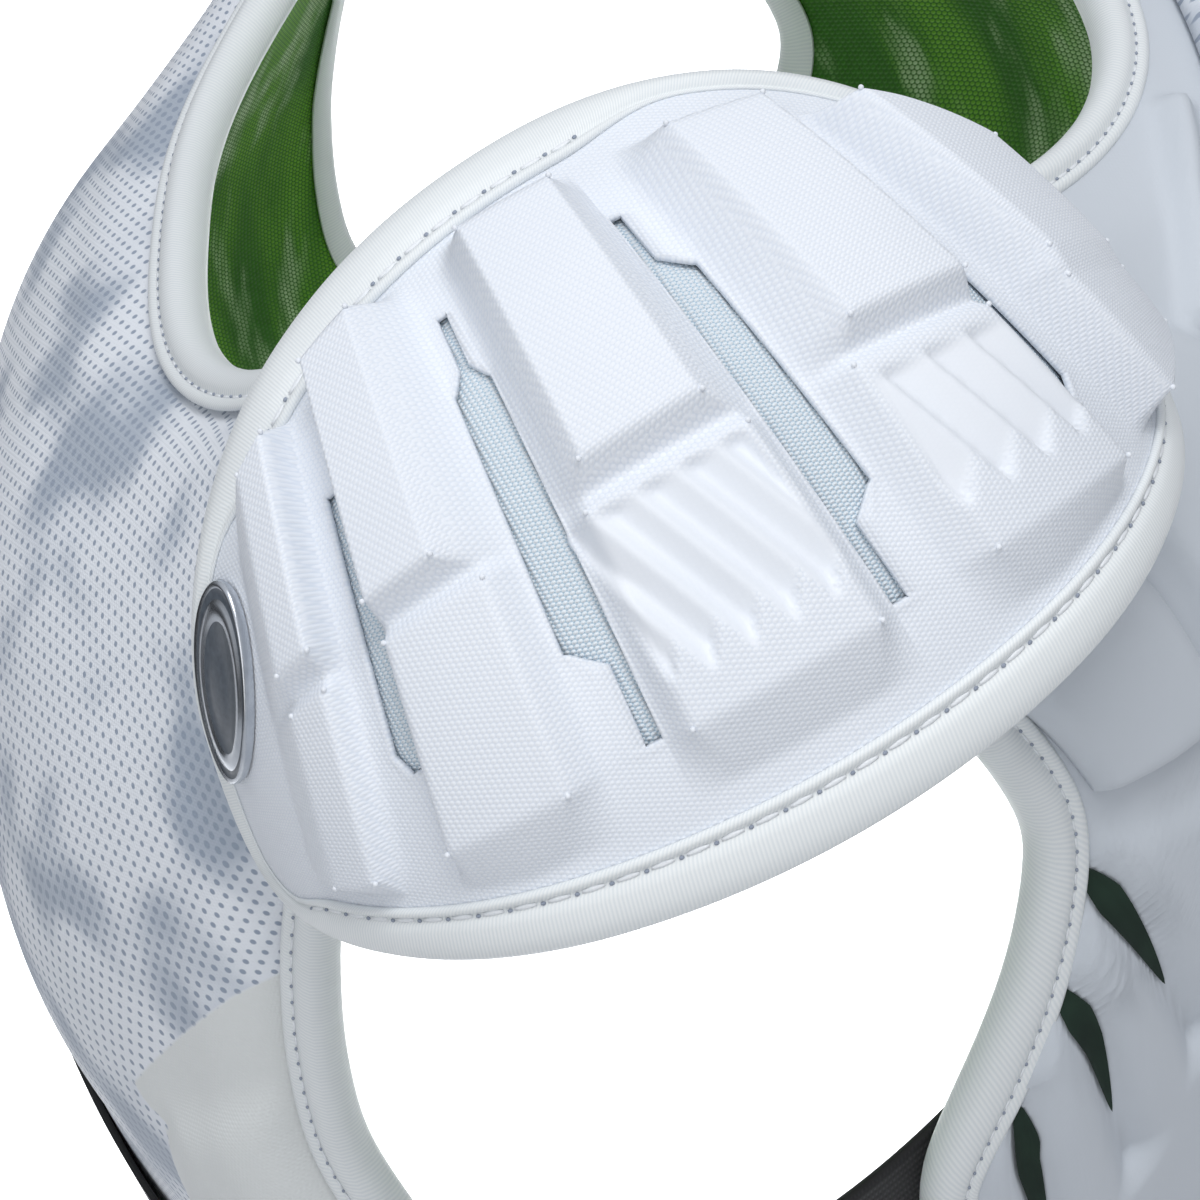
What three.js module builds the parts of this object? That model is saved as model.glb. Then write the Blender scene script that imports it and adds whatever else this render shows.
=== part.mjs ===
// Lacrosse shoulder pads, worn form: two padded body panels over the shoulders, a moulded cap on
// each shoulder, a chest plate, bindings and side straps.
// Millimetres, +Z up. The chest faces -Y and the wearer's left is +X. The origin lies between the
// two shoulder bridges, on the middle plane.
import * as THREE from 'three';
import { mergeVertices } from 'three/addons/utils/BufferGeometryUtils.js';

// Body form: each section along the depth is an arch over the shoulder that runs into upright legs
const HALF_WIDTH = 196;
const GIRTH_RADIUS = 183;
const SHOULDER_EDGE = 177;
const MIDDLE_DEPTH = { atNeck: -8, gain: 24, gainAt: 170 };
const RIDGE_HEIGHT = { atNeck: -6, fall: 32 };
const FRONT_ARCH = {
  ridgeRadius: 90, slope: THREE.MathUtils.degToRad(28), slopeLength: 92, hipRadius: 85, sideStretch: 0.45,
};
const BACK_ARCH = {
  ridgeRadius: 90, slope: THREE.MathUtils.degToRad(36), slopeLength: 98, hipRadius: 122, sideStretch: 0.12,
};

// Panel outlines: lateral girth from the middle plane, and run along the section from the ridge
const NECK = { halfGirth: 112, front: 121, back: 116, squareness: 0.66 };
const NECK_STATIONS = [0, 18, 36, 52, 66, 78, 90].map(THREE.MathUtils.degToRad);
const FRONT = {
  arch: FRONT_ARCH, neckRun: NECK.front, runs: [140, 162, 184, 204], legShares: [0.25, 0.6, 0.85, 1],
  hemMiddle: -262, hemSide: -282, thickness: 9, sign: -1,
  armhole: [{ run: 0, girth: 150 }, { run: 110, girth: 182 }, { run: 170, girth: 189 },
    { run: 188, girth: 206 }, { run: 206, girth: 238 }, { run: 420, girth: 248 }],
};
const BACK = {
  arch: BACK_ARCH, neckRun: NECK.back, runs: [124, 148, 176, 206], legShares: [0.25, 0.6, 0.85, 1],
  hemMiddle: -300, hemSide: -285, thickness: 14, sign: 1,
  armhole: [{ run: 0, girth: 150 }, { run: 110, girth: 185 }, { run: 170, girth: 200 },
    { run: 215, girth: 207 }, { run: 255, girth: 227 }, { run: 300, girth: 243 }, { run: 420, girth: 243 }],
};
const PANEL_SHARES = [0, 0.14, 0.32, 0.52, 0.74, 0.92, 1];
const EDGE_THICKNESS = 5;
const EDGE_TAPER = 30;
const RIDGE_SPLIT = 0.2;
const LINING = { top: -0.3, bottom: -2.8 };

// Binding tape folded over the edge of the panels and their lining
const BODY_TAPE = { web: 1.8, reach: 9, leaf: 1.2, clear: 0.9, clearUnder: 1.3, rise: 4.6 };

// Chest plate on the middle of the front panel
const CHEST_PLATE = { columns: [0, 3], rows: [7, 14], seat: 0.4, thickness: 8 };
// Pad beside each armhole, on the front panel
const ARMHOLE_PAD = { columns: [4, 5], rows: [7, 9], seat: 0.4, thickness: 6 };

// Slack side straps, from inside the front panel down to the outside of the back panel
const STRAP = {
  width: 38, thickness: 1.6, frontHeight: -176, backHeight: -210, sag: 47, insideLift: -8, outsideLift: 14.6,
  from: THREE.MathUtils.degToRad(58), leave: THREE.MathUtils.degToRad(83),
  arrive: THREE.MathUtils.degToRad(102), to: THREE.MathUtils.degToRad(156), steps: 26,
};

// Cap form: a crown of large radius with tighter flanks, bent over the shoulder
const CAP_CENTRE = new THREE.Vector3(-189.8, -9.4, -14.5);
const CAP_FACING = { azimuth: THREE.MathUtils.degToRad(276.3), elevation: THREE.MathUtils.degToRad(49.6) };
const CAP_TWIST = THREE.MathUtils.degToRad(12.8);
const CROWN_RADIUS = 130;
const FLANK_RADIUS = 78;
const CROWN_HALF_WIDTH = 45;
const ARM_RADIUS = 134;
const FAN = 0.0045;

// Cap outline and pattern: fan is the girth position where a line crosses the middle of the cap
const CAP = { backFan: 128.5, frontFan: 125, tip: 6, inner: 76, innerPower: 2.6, outer: 65, tilt: 0.07 };
const CAP_PLATE = { top: 0, bottom: -4, inset: 2.2 };
const CAP_MESH = { top: -6, bottom: -7.3, inset: 17, span: [-80, 82], fans: 14, rows: 6 };
const CAP_TAPE = { web: 1.6, reach: 10, leaf: 1.2, clear: 0.7, clearUnder: 1.1, rise: 0 };
// The tape narrows to a share of its reach on the back wing and behind the front rib
const NARROW_TAPE = {
  share: 0.4, back: { start: -84, full: -104 }, front: { start: 34, full: 56, above: 24 },
};
// Stations of the tape are at least this far apart
const TAPE_STEP = 6;
// Rows of the cap pattern down the arm: the rib level at each, and its least distance from the nearest edge
const CAP_ROWS = [
  { arm: -61, level: 'plate', clear: 11.5 }, { arm: -54, level: 'high', clear: 15 },
  { arm: -48, level: 'high', clear: 16 }, { arm: -37, level: 'high', clear: 17 },
  { arm: -33, level: 'high', clear: 18 }, { arm: -22, level: 'high', clear: 19 },
  { arm: -9, level: 'high', clear: 20 }, { arm: -2.5, level: 'low', clear: 24 },
  { arm: 6, level: 'low', clear: 19 }, { arm: 15, level: 'low', clear: 18 },
  { arm: 20, level: 'low', clear: 17 }, { arm: 35, level: 'low', clear: 15.5 },
  { arm: 46.5, level: 'plate', clear: 11.5 },
];
const STEP_ROW = 6;
const RIBS = [
  { name: 'back', base: [-91, -65], high: [-74, -66], low: [-76, -67], rise: { high: 8, low: 5 } },
  { name: 'back_mid', base: [-54.5, -28], high: [-52, -38.5], low: [-52.5, -33], rise: { high: 10, low: 6 } },
  { name: 'middle', base: [-18, 18], high: [-11, 11], low: [-14, 15], rise: { high: 10, low: 6 } },
  { name: 'front_mid', base: [28, 64], high: [38, 60.5], low: [34.5, 62], rise: { high: 10, low: 6 } },
  { name: 'front', base: [75, 109], high: [82, 103], low: [80, 102], rise: { high: 9, low: 6 } },
];
const SLOT_HALF = 4.4;
const SLOT_NECK_HALF = 1.4;
const SLOTS = [
  { name: 'back', fan: -59.8, top: -33, bottom: 20, neckTop: -48, neckBottom: 15 },
  { name: 'back_mid', fan: -23, top: -48, bottom: 35, neckTop: -37, neckBottom: 15 },
  { name: 'front_mid', fan: 23, top: -48, bottom: 35, neckTop: -37, neckBottom: 15 },
  { name: 'front', fan: 69.5, top: -33, bottom: 20, neckTop: -48, neckBottom: 15 },
];
const NOTCH_LENGTH = 4;

// Fan lines of the back wing, outside the ribs
const WING_FANS = [-124, -117, -109, -100];

// Oval badge on the back wing of each cap
const BADGE = {
  girth: -92, arm: -20, halfLength: 20, halfWidth: 9.5, turn: THREE.MathUtils.degToRad(128),
  top: 2.4, seat: 0.9, spokes: 20,
};

// Tab that joins each cap to the shoulder bridge, hidden under the cap's inner edge
const CAP_TAB = { girths: [-12, -3, 6, 15], arms: [-71, -62], underCap: -6.8, overBridge: 3.7 };

const finish = (colour, roughness, metalness = 0) => () => (
  new THREE.MeshStandardMaterial({ color: colour, roughness, metalness }));
const FINISH = {
  foam: finish(0xeef1f7, 0.6), panel: finish(0xd8dee8, 0.8), lining: finish(0x3b7426, 0.85),
  tape: finish(0xeef2f2, 0.65), mesh: finish(0xc9d9e0, 0.85), elastic: finish(0x0c0c0e, 0.8),
  badge: finish(0x3a3f45, 0.35, 0.4),
};

const smoothStep = (share) => THREE.MathUtils.smoothstep(share, 0, 1);

// Value of a short table at a run, straight between its rows
function along(table, run) {
  const next = table.findIndex((row) => row.run >= run);
  if (next < 1) return table[Math.max(next, 0)].girth;
  const low = table[next - 1];
  const high = table[next];
  return THREE.MathUtils.mapLinear(run, low.run, high.run, low.girth, high.girth);
}

// Depth and drop of an arch after a run from the ridge: ridge arc, slope, hip arc, upright leg
function archAt(arch, run) {
  const { ridgeRadius, slope, slopeLength, hipRadius } = arch;
  const ridgeRun = ridgeRadius * slope;
  const hipRun = hipRadius * (Math.PI / 2 - slope);
  const ridge = Math.min(run, ridgeRun) / ridgeRadius;
  const straight = THREE.MathUtils.clamp(run - ridgeRun, 0, slopeLength);
  const hip = slope + THREE.MathUtils.clamp(run - ridgeRun - slopeLength, 0, hipRun) / hipRadius;
  return {
    depth: ridgeRadius * Math.sin(ridge) + straight * Math.cos(slope)
      + hipRadius * (Math.sin(hip) - Math.sin(slope)),
    drop: ridgeRadius * (1 - Math.cos(ridge)) + straight * Math.sin(slope)
      + hipRadius * (Math.cos(slope) - Math.cos(hip)),
    leg: Math.max(run - ridgeRun - slopeLength - hipRun, 0),
  };
}

const archRun = (arch) => (
  arch.ridgeRadius * arch.slope + arch.slopeLength + arch.hipRadius * (Math.PI / 2 - arch.slope));
const middleDepth = (x) => MIDDLE_DEPTH.atNeck + MIDDLE_DEPTH.gain * (x / MIDDLE_DEPTH.gainAt) ** 2;
const ridgeHeight = (x) => RIDGE_HEIGHT.atNeck - RIDGE_HEIGHT.fall * Math.abs(x / SHOULDER_EDGE) ** 3;
const sideStretch = (arch, x) => 1 + arch.sideStretch * Math.abs(x / SHOULDER_EDGE) ** 3;
const lateral = (girth) => HALF_WIDTH * Math.sin(girth / GIRTH_RADIUS);

// Point of the body's inner surface; the run is positive down the back and negative down the front
function bodyPoint(girth, run) {
  const x = lateral(girth);
  const arch = run < 0 ? FRONT_ARCH : BACK_ARCH;
  const { depth, drop, leg } = archAt(arch, Math.abs(run));
  const y = middleDepth(x) + Math.sign(run) * depth * Math.cos(girth / GIRTH_RADIUS);
  return new THREE.Vector3(x, y, ridgeHeight(x) - drop * sideStretch(arch, x) - leg);
}

// Point at a lift above that surface, along its normal
function bodyForm(girth, run, lift) {
  const step = 0.5;
  const across = bodyPoint(girth + step, run).sub(bodyPoint(girth - step, run));
  const down = bodyPoint(girth, run + step).sub(bodyPoint(girth, run - step));
  return bodyPoint(girth, run).addScaledVector(across.cross(down).normalize(), lift);
}

// Run at which a panel reaches a height on its legs
function runAtHeight(panel, girth, height) {
  const x = lateral(girth);
  const { drop } = archAt(panel.arch, archRun(panel.arch));
  const legTop = ridgeHeight(x) - drop * sideStretch(panel.arch, x);
  return archRun(panel.arch) + legTop - height;
}

// Axes of the right cap: across its ribs, down the arm and outward
const capAxes = (() => {
  const { azimuth, elevation } = CAP_FACING;
  const out = new THREE.Vector3(
    Math.sin(azimuth) * Math.cos(elevation), -Math.cos(azimuth) * Math.cos(elevation), Math.sin(elevation));
  const level = new THREE.Vector3(0, 0, 1).cross(out).normalize();
  const up = out.clone().cross(level);
  const across = level.clone().multiplyScalar(Math.cos(CAP_TWIST)).addScaledVector(up, Math.sin(CAP_TWIST));
  const down = up.clone().multiplyScalar(-Math.cos(CAP_TWIST)).addScaledVector(level, Math.sin(CAP_TWIST));
  return { out, across, down };
})();

// Point of the right cap at a girth across the ribs, a run down the arm and a lift
function capForm(girth, arm, lift) {
  const size = Math.abs(girth);
  const crown = Math.min(size, CROWN_HALF_WIDTH) / CROWN_RADIUS;
  const turn = crown + Math.max(size - CROWN_HALF_WIDTH, 0) / FLANK_RADIUS;
  const reach = CROWN_RADIUS * Math.sin(crown) + FLANK_RADIUS * (Math.sin(turn) - Math.sin(crown));
  const sink = CROWN_RADIUS * (1 - Math.cos(crown)) + FLANK_RADIUS * (Math.cos(crown) - Math.cos(turn));
  const swing = arm / ARM_RADIUS;
  const radius = ARM_RADIUS - sink + lift * Math.cos(turn);
  const side = Math.sign(girth) * (reach + lift * Math.sin(turn));
  return CAP_CENTRE.clone()
    .addScaledVector(capAxes.out, radius * Math.cos(swing) - ARM_RADIUS)
    .addScaledVector(capAxes.down, radius * Math.sin(swing))
    .addScaledVector(capAxes.across, side);
}

// Pattern helpers of the cap, in fan lines and arm rows
const fanGirth = (fan, arm) => fan * (1 + FAN * arm);
const halfFan = (fan) => (fan < 0 ? CAP.backFan : CAP.frontFan);
const tipFan = (fan) => halfFan(fan) - CAP.tip;
const capInner = (fan) => {
  const share = Math.abs(fan / halfFan(fan)) ** CAP.innerPower;
  return -CAP.inner * (1 - share) ** (1 / CAP.innerPower) - CAP.tilt * fan;
};
const capOuter = (fan) => CAP.outer * Math.sqrt(1 - (fan / halfFan(fan)) ** 2);

// Height of a ramp that starts at one place and is full at another
const ramp = (place, start, full) => THREE.MathUtils.clamp((place - start) / (full - start), 0, 1);

// Share of the tape's reach at a place on the cap's edge
function tapeShare(fan, arm) {
  const { share, back, front } = NARROW_TAPE;
  const onFront = arm < front.above ? ramp(fan, front.start, front.full) : 0;
  return THREE.MathUtils.lerp(1, share, Math.max(ramp(fan, back.start, back.full), onFront));
}

// Half width of a slot at an arm row: a wide middle with a narrow neck at each end
function slotHalf(slot, arm) {
  const upper = ramp(arm, slot.neckTop, slot.neckTop + NOTCH_LENGTH);
  const lower = ramp(arm, slot.neckBottom + NOTCH_LENGTH + 1, slot.neckBottom);
  return THREE.MathUtils.lerp(SLOT_NECK_HALF, SLOT_HALF, Math.min(upper, lower));
}

// Fan lines of the cap pattern from the back tip to the front tip; crest lines carry their rib
function capColumns() {
  const fixed = (fan) => ({ at: () => fan });
  const crest = (rib, side) => ({ at: (arm, tier) => (tier === 'low' ? rib.low : rib.high)[side], rib });
  const columns = WING_FANS.map(fixed);
  RIBS.forEach((rib, index) => {
    columns.push(fixed(rib.base[0]), crest(rib, 0), crest(rib, 1), fixed(rib.base[1]));
    const slot = SLOTS[index];
    if (slot) {
      columns.push({ at: (arm) => slot.fan - slotHalf(slot, arm), slot });
      columns.push({ at: (arm) => slot.fan + slotHalf(slot, arm) });
    }
  });
  columns.push(fixed(tipFan(1)));
  return columns;
}

// Arm row of the cap pattern on a fan line, held clear of the inner and outer edge
function capRowArm(fan, j) {
  const top = capInner(fan) + CAP_PLATE.inset;
  const bottom = capOuter(fan) - CAP_PLATE.inset;
  if (j === 0) return top;
  if (j > CAP_ROWS.length) return bottom;
  const { arm, clear } = CAP_ROWS[j - 1];
  const square = (edge) => Math.hypot(1, (edge(fan + 1) - edge(fan - 1)) / 2);
  const middle = (top + bottom) / 2;
  const nearMiddle = middle + j - 1 - STEP_ROW;
  if (j - 1 <= STEP_ROW) return Math.max(arm, Math.min(top + clear * square(capInner), nearMiddle));
  return Math.min(arm, Math.max(bottom - clear * square(capOuter), nearMiddle));
}

// Closed body from a grid: point(i, j) gives its low and high corners, open(i, j) leaves a cell out
function gridSolid(columnCount, rowCount, point, open = () => false) {
  const corners = [];
  for (let j = 0; j < rowCount; j += 1) {
    for (let i = 0; i < columnCount; i += 1) corners.push(point(i, j));
  }
  const positions = corners.flatMap(({ low, high }) => [...low.toArray(), ...high.toArray()]);
  const low = (i, j) => 2 * (j * columnCount + i);
  const high = (i, j) => low(i, j) + 1;
  const filled = (i, j) => i >= 0 && j >= 0 && i < columnCount - 1 && j < rowCount - 1 && !open(i, j);
  const onMiddle = (i, j) => Math.abs(positions[3 * low(i, j)]) < 1e-6;
  const index = [];
  const quad = (a, b, c, d) => index.push(a, b, c, a, c, d);
  const wall = (i0, j0, i1, j1) => {
    if (onMiddle(i0, j0) && onMiddle(i1, j1)) return;
    quad(low(i0, j0), low(i1, j1), high(i1, j1), high(i0, j0));
  };
  for (let j = 0; j < rowCount - 1; j += 1) {
    for (let i = 0; i < columnCount - 1; i += 1) {
      if (!filled(i, j)) continue;
      quad(high(i, j), high(i + 1, j), high(i + 1, j + 1), high(i, j + 1));
      quad(low(i, j), low(i, j + 1), low(i + 1, j + 1), low(i + 1, j));
      if (!filled(i, j - 1)) wall(i, j, i + 1, j);
      if (!filled(i + 1, j)) wall(i + 1, j, i + 1, j + 1);
      if (!filled(i, j + 1)) wall(i + 1, j + 1, i, j + 1);
      if (!filled(i - 1, j)) wall(i, j + 1, i, j);
    }
  }
  return solidFrom(positions, index);
}

// Closed or open strip of a section along stations: place(station, sectionPoint) gives each corner
function sweepSolid(stationCount, section, place, closed) {
  const size = section.length;
  const positions = [];
  for (let k = 0; k < stationCount; k += 1) {
    section.forEach((corner) => positions.push(...place(k, corner).toArray()));
  }
  const index = [];
  const last = closed ? stationCount : stationCount - 1;
  for (let k = 0; k < last; k += 1) {
    const here = k * size;
    const next = ((k + 1) % stationCount) * size;
    for (let m = 0; m < size; m += 1) {
      const n = (m + 1) % size;
      index.push(here + m, next + m, next + n, here + m, next + n, here + n);
    }
  }
  if (!closed) {
    const flat = section.map(({ inset, lift }) => new THREE.Vector2(inset, lift));
    const end = (stationCount - 1) * size;
    THREE.ShapeUtils.triangulateShape(flat, []).forEach(([a, b, c]) => {
      const forward = THREE.ShapeUtils.area(flat) > 0;
      index.push(...(forward ? [a, b, c] : [a, c, b]));
      index.push(...(forward ? [end + a, end + c, end + b] : [end + a, end + b, end + c]));
    });
  }
  return solidFrom(positions, index);
}

// Closed disc from a centre and a rim: point(share, turn) gives the low and high corners
function discSolid(spokes, point) {
  const turns = Array.from({ length: spokes }, (_, k) => (2 * Math.PI * k) / spokes);
  const corners = [point(0, 0), ...turns.map((turn) => point(1, turn))];
  const positions = corners.flatMap(({ low, high }) => [...low.toArray(), ...high.toArray()]);
  const index = [];
  for (let k = 0; k < spokes; k += 1) {
    const here = 2 * (k + 1);
    const next = 2 * (((k + 1) % spokes) + 1);
    index.push(0, next, here, 1, here + 1, next + 1);
    index.push(here, next, next + 1, here, next + 1, here + 1);
  }
  return solidFrom(positions, index);
}

// Signed volume of an indexed mesh
function signedVolume(positions, index) {
  const corner = (k) => new THREE.Vector3().fromArray(positions, 3 * k);
  let volume = 0;
  for (let k = 0; k < index.length; k += 3) {
    volume += corner(index[k]).dot(corner(index[k + 1]).cross(corner(index[k + 2]))) / 6;
  }
  return volume;
}

// Geometry with its faces pointing out, shared corners merged and faces without area dropped
function solidFrom(positions, index) {
  const ordered = [...index];
  if (signedVolume(positions, ordered) < 0) ordered.reverse();
  const geometry = new THREE.BufferGeometry();
  geometry.setAttribute('position', new THREE.Float32BufferAttribute(positions, 3));
  geometry.setIndex(ordered);
  const merged = mergeVertices(geometry, 1e-4);
  const kept = [];
  const source = merged.index.array;
  for (let k = 0; k < source.length; k += 3) {
    const [a, b, c] = source.slice(k, k + 3);
    if (a !== b && b !== c && c !== a) kept.push(a, b, c);
  }
  merged.setIndex(kept);
  return merged;
}

// Mirror image across the middle plane
function mirrored(geometry) {
  const source = geometry.attributes.position.array;
  const positions = Array.from(source, (value, k) => (k % 3 === 0 ? -value : value));
  return solidFrom(positions, [...geometry.index.array].reverse());
}

// One body from a half that meets the middle plane and its mirror image
function bothHalves(half) {
  const other = mirrored(half);
  const count = half.attributes.position.count;
  const positions = [...half.attributes.position.array, ...other.attributes.position.array];
  const index = [...half.index.array, ...Array.from(other.index.array, (k) => k + count)];
  return solidFrom(positions, index);
}

const model = new THREE.Group();

function addNode(name, geometry, material) {
  const mesh = new THREE.Mesh(geometry, material());
  mesh.name = name;
  model.add(mesh);
}

// Neck edge of a panel: its girth at each run above the bottom of the neckline
const neckGirth = (angle) => NECK.halfGirth * Math.cos(angle) ** NECK.squareness;

// Rows of a panel's half grid, from the shoulder ridge to the hem
function panelRows(panel) {
  const neckRows = NECK_STATIONS.map((angle, k) => ({
    run: () => Math.max(panel.neckRun * Math.sin(angle), RIDGE_SPLIT),
    inner: k === NECK_STATIONS.length - 1 ? 0 : neckGirth(angle),
  }));
  const archRows = panel.runs.map((run) => ({ run: () => run, inner: 0 }));
  const legTop = archRun(panel.arch);
  const legRows = [0, ...panel.legShares].map((share) => ({
    run: (girth) => {
      const sideShare = (girth / NECK.halfGirth / 2) ** 2;
      const hem = THREE.MathUtils.lerp(panel.hemMiddle, panel.hemSide, Math.min(sideShare, 1));
      return THREE.MathUtils.lerp(legTop, runAtHeight(panel, girth, hem), share);
    },
    inner: 0,
  }));
  return [...neckRows, ...archRows, ...legRows];
}

// Girth and run of a corner of a panel's half grid
function panelCorner(panel, rows, i, j) {
  const row = rows[j];
  const edgeRun = row.run(along(panel.armhole, row.run(NECK.halfGirth)));
  const girth = THREE.MathUtils.lerp(row.inner, along(panel.armhole, edgeRun), PANEL_SHARES[i]);
  return { girth, run: row.run(girth) };
}

// Thickness of a panel: thin along its bound edges and full in the middle
function panelThickness(panel, girth, run) {
  const across = (girth / NECK.halfGirth) ** (1 / NECK.squareness);
  const neck = (Math.hypot(across, run / panel.neckRun) - 1) * panel.neckRun;
  const armhole = along(panel.armhole, run) - girth;
  const share = smoothStep(THREE.MathUtils.clamp(Math.min(neck, armhole) / EDGE_TAPER, 0, 1));
  return THREE.MathUtils.lerp(EDGE_THICKNESS, panel.thickness, share);
}

// Left half of a sheet on a panel's grid, between two lifts that depend on the place
function panelHalf(panel, bottom, top, columns = [0, PANEL_SHARES.length - 1], rowSpan = null) {
  const rows = panelRows(panel);
  const [firstRow, lastRow] = rowSpan ?? [0, rows.length - 1];
  return gridSolid(columns[1] - columns[0] + 1, lastRow - firstRow + 1, (i, j) => {
    const { girth, run } = panelCorner(panel, rows, i + columns[0], j + firstRow);
    const place = (lift) => bodyForm(girth, panel.sign * run, lift(girth, run));
    return { low: place(bottom), high: place(top) };
  });
}

const level = (lift) => () => lift;

// Lifts of the under and upper face of a pad that sits on the front panel
function padLifts({ seat, thickness }) {
  const under = (girth, run) => panelThickness(FRONT, girth, run) + seat;
  return { under, over: (girth, run) => under(girth, run) + thickness };
}

function addPanels() {
  Object.entries({ front: FRONT, back: BACK }).forEach(([side, panel]) => {
    const thickness = (girth, run) => panelThickness(panel, girth, run);
    const cover = side === 'front' ? FINISH.foam : FINISH.panel;
    addNode(`${side}_panel`, bothHalves(panelHalf(panel, level(0), thickness)), cover);
    const lining = panelHalf(panel, level(LINING.bottom), level(LINING.top));
    addNode(`${side}_lining`, bothHalves(lining), FINISH.lining);
  });
  const chest = padLifts(CHEST_PLATE);
  const plate = panelHalf(FRONT, chest.under, chest.over, CHEST_PLATE.columns, CHEST_PLATE.rows);
  addNode('chest_plate', bothHalves(plate), FINISH.panel);
  const beside = padLifts(ARMHOLE_PAD);
  const pad = panelHalf(FRONT, beside.under, beside.over, ARMHOLE_PAD.columns, ARMHOLE_PAD.rows);
  addNode('armhole_pad_left', pad, FINISH.foam);
  addNode('armhole_pad_right', mirrored(pad), FINISH.foam);
}

// Section of a folded tape: inset is into the panel from its edge, lift is above the inner surface
function tapeSection(tape, edgeBottom, edgeTop) {
  const { web, reach, leaf, clear, clearUnder, rise } = tape;
  const under = edgeBottom - clearUnder;
  const over = edgeTop + clear;
  return [
    { inset: -web - clear, lift: under - leaf }, { inset: reach, lift: under - leaf },
    { inset: reach, lift: under }, { inset: -clear, lift: under },
    { inset: -clear, lift: over }, { inset: reach, lift: over + rise },
    { inset: reach, lift: over + rise + leaf }, { inset: -web - clear, lift: over + leaf },
  ];
}

// Strip of tape along an edge given as girth and signed run; inward points into the panel
function edgeTape(edge, section, inward, closed) {
  const count = edge.length;
  const at = (k) => edge[closed ? (k + count) % count : THREE.MathUtils.clamp(k, 0, count - 1)];
  return sweepSolid(count, section, (k, { inset, lift }) => {
    const [before, after] = [at(k - 1), at(k + 1)];
    const course = new THREE.Vector2(after.girth - before.girth, after.run - before.run).normalize();
    const side = new THREE.Vector2(-course.y, course.x).multiplyScalar(inward);
    return bodyForm(at(k).girth + side.x * inset, at(k).run + side.y * inset, lift);
  }, closed);
}

function addBodyTapes() {
  const section = tapeSection(BODY_TAPE, LINING.bottom, EDGE_THICKNESS);
  const quarter = (panel) => NECK_STATIONS.map((angle, k) => ({
    girth: k === NECK_STATIONS.length - 1 ? 0 : neckGirth(angle),
    run: panel.sign * panel.neckRun * Math.sin(angle),
  }));
  const flip = ({ girth, run }) => ({ girth: -girth, run });
  const back = quarter(BACK);
  const front = quarter(FRONT);
  const neckEdge = [
    ...back, ...back.slice(0, -1).reverse().map(flip),
    ...front.slice(1).map(flip), ...front.slice(1, -1).reverse(),
  ];
  addNode('neck_binding', edgeTape(neckEdge, section, -1, true), FINISH.tape);
  const side = (panel) => {
    const rows = panelRows(panel);
    return rows.map((row, j) => panelCorner(panel, rows, PANEL_SHARES.length - 1, j))
      .map(({ girth, run }) => ({ girth, run: panel.sign * run }));
  };
  const armEdge = [...side(BACK).reverse(), ...side(FRONT).slice(1)];
  const left = edgeTape(armEdge, section, -1, false);
  addNode('armhole_binding_left', left, FINISH.tape);
  addNode('armhole_binding_right', mirrored(left), FINISH.tape);
}

function addSideStraps() {
  const { width, thickness, frontHeight, backHeight, sag, insideLift, outsideLift } = STRAP;
  const { from, leave, arrive, to, steps } = STRAP;
  const frontDepth = archAt(FRONT_ARCH, archRun(FRONT_ARCH)).depth;
  const backDepth = archAt(BACK_ARCH, archRun(BACK_ARCH)).depth;
  const place = (angle, height, lift) => {
    const depth = Math.cos(angle) > 0 ? frontDepth : backDepth;
    const x = HALF_WIDTH * Math.sin(angle);
    const y = middleDepth(x) - (depth + lift) * Math.cos(angle);
    return new THREE.Vector3(x + lift * Math.sin(angle), y, height);
  };
  const left = gridSolid(steps + 1, 2, (i, j) => {
    const angle = THREE.MathUtils.lerp(from, to, i / steps);
    const share = smoothStep(ramp(angle, leave, arrive));
    const lift = THREE.MathUtils.lerp(insideLift, outsideLift, share);
    const way = i / steps;
    const hang = sag * 4 * way * (1 - way);
    const height = THREE.MathUtils.lerp(frontHeight, backHeight, way) - hang - j * width;
    return { low: place(angle, height, lift), high: place(angle, height, lift + thickness) };
  });
  addNode('side_strap_left', left, FINISH.elastic);
  addNode('side_strap_right', mirrored(left), FINISH.elastic);
}

// Edge of the cap plate as fan, girth and arm, once round: inner edge, front tip, outer edge, back tip
function capOutline(place, columnCount, rowCount) {
  const lastColumn = columnCount - 1;
  const lastRow = rowCount - 1;
  const steps = (size) => Array.from({ length: size + 1 }, (_, k) => k);
  const sides = [
    steps(lastColumn).map((i) => place(i, 0)), steps(lastRow).map((j) => place(lastColumn, j)),
    steps(lastColumn).map((i) => place(lastColumn - i, lastRow)),
    steps(lastRow).map((j) => place(0, lastRow - j)),
  ];
  return sides.flatMap((side) => {
    const spots = side.map(({ fan, arm }) => ({ fan, spot: new THREE.Vector2(fanGirth(fan, arm), arm) }));
    const end = spots.pop();
    const kept = [spots[0]];
    spots.forEach((here) => {
      const clear = [kept[kept.length - 1], end].every(({ spot }) => here.spot.distanceTo(spot) >= TAPE_STEP);
      if (clear) kept.push(here);
    });
    return kept;
  });
}

// Tab from the bridge up to the cap's underside; the body point below a cap point shares its x and y
function capTab() {
  const { girths, arms, underCap, overBridge } = CAP_TAB;
  return gridSolid(girths.length, arms.length, (i, j) => {
    const high = capForm(girths[i], arms[j], underCap);
    const girth = GIRTH_RADIUS * Math.asin(Math.abs(high.x) / HALF_WIDTH);
    const offset = high.y - middleDepth(high.x);
    const panel = offset < 0 ? FRONT : BACK;
    const run = Math.abs(offset) / Math.cos(girth / GIRTH_RADIUS);
    const low = bodyForm(-girth, panel.sign * run, panelThickness(panel, girth, run) + overBridge);
    return { low: new THREE.Vector3(high.x, high.y, low.z), high };
  });
}

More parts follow.
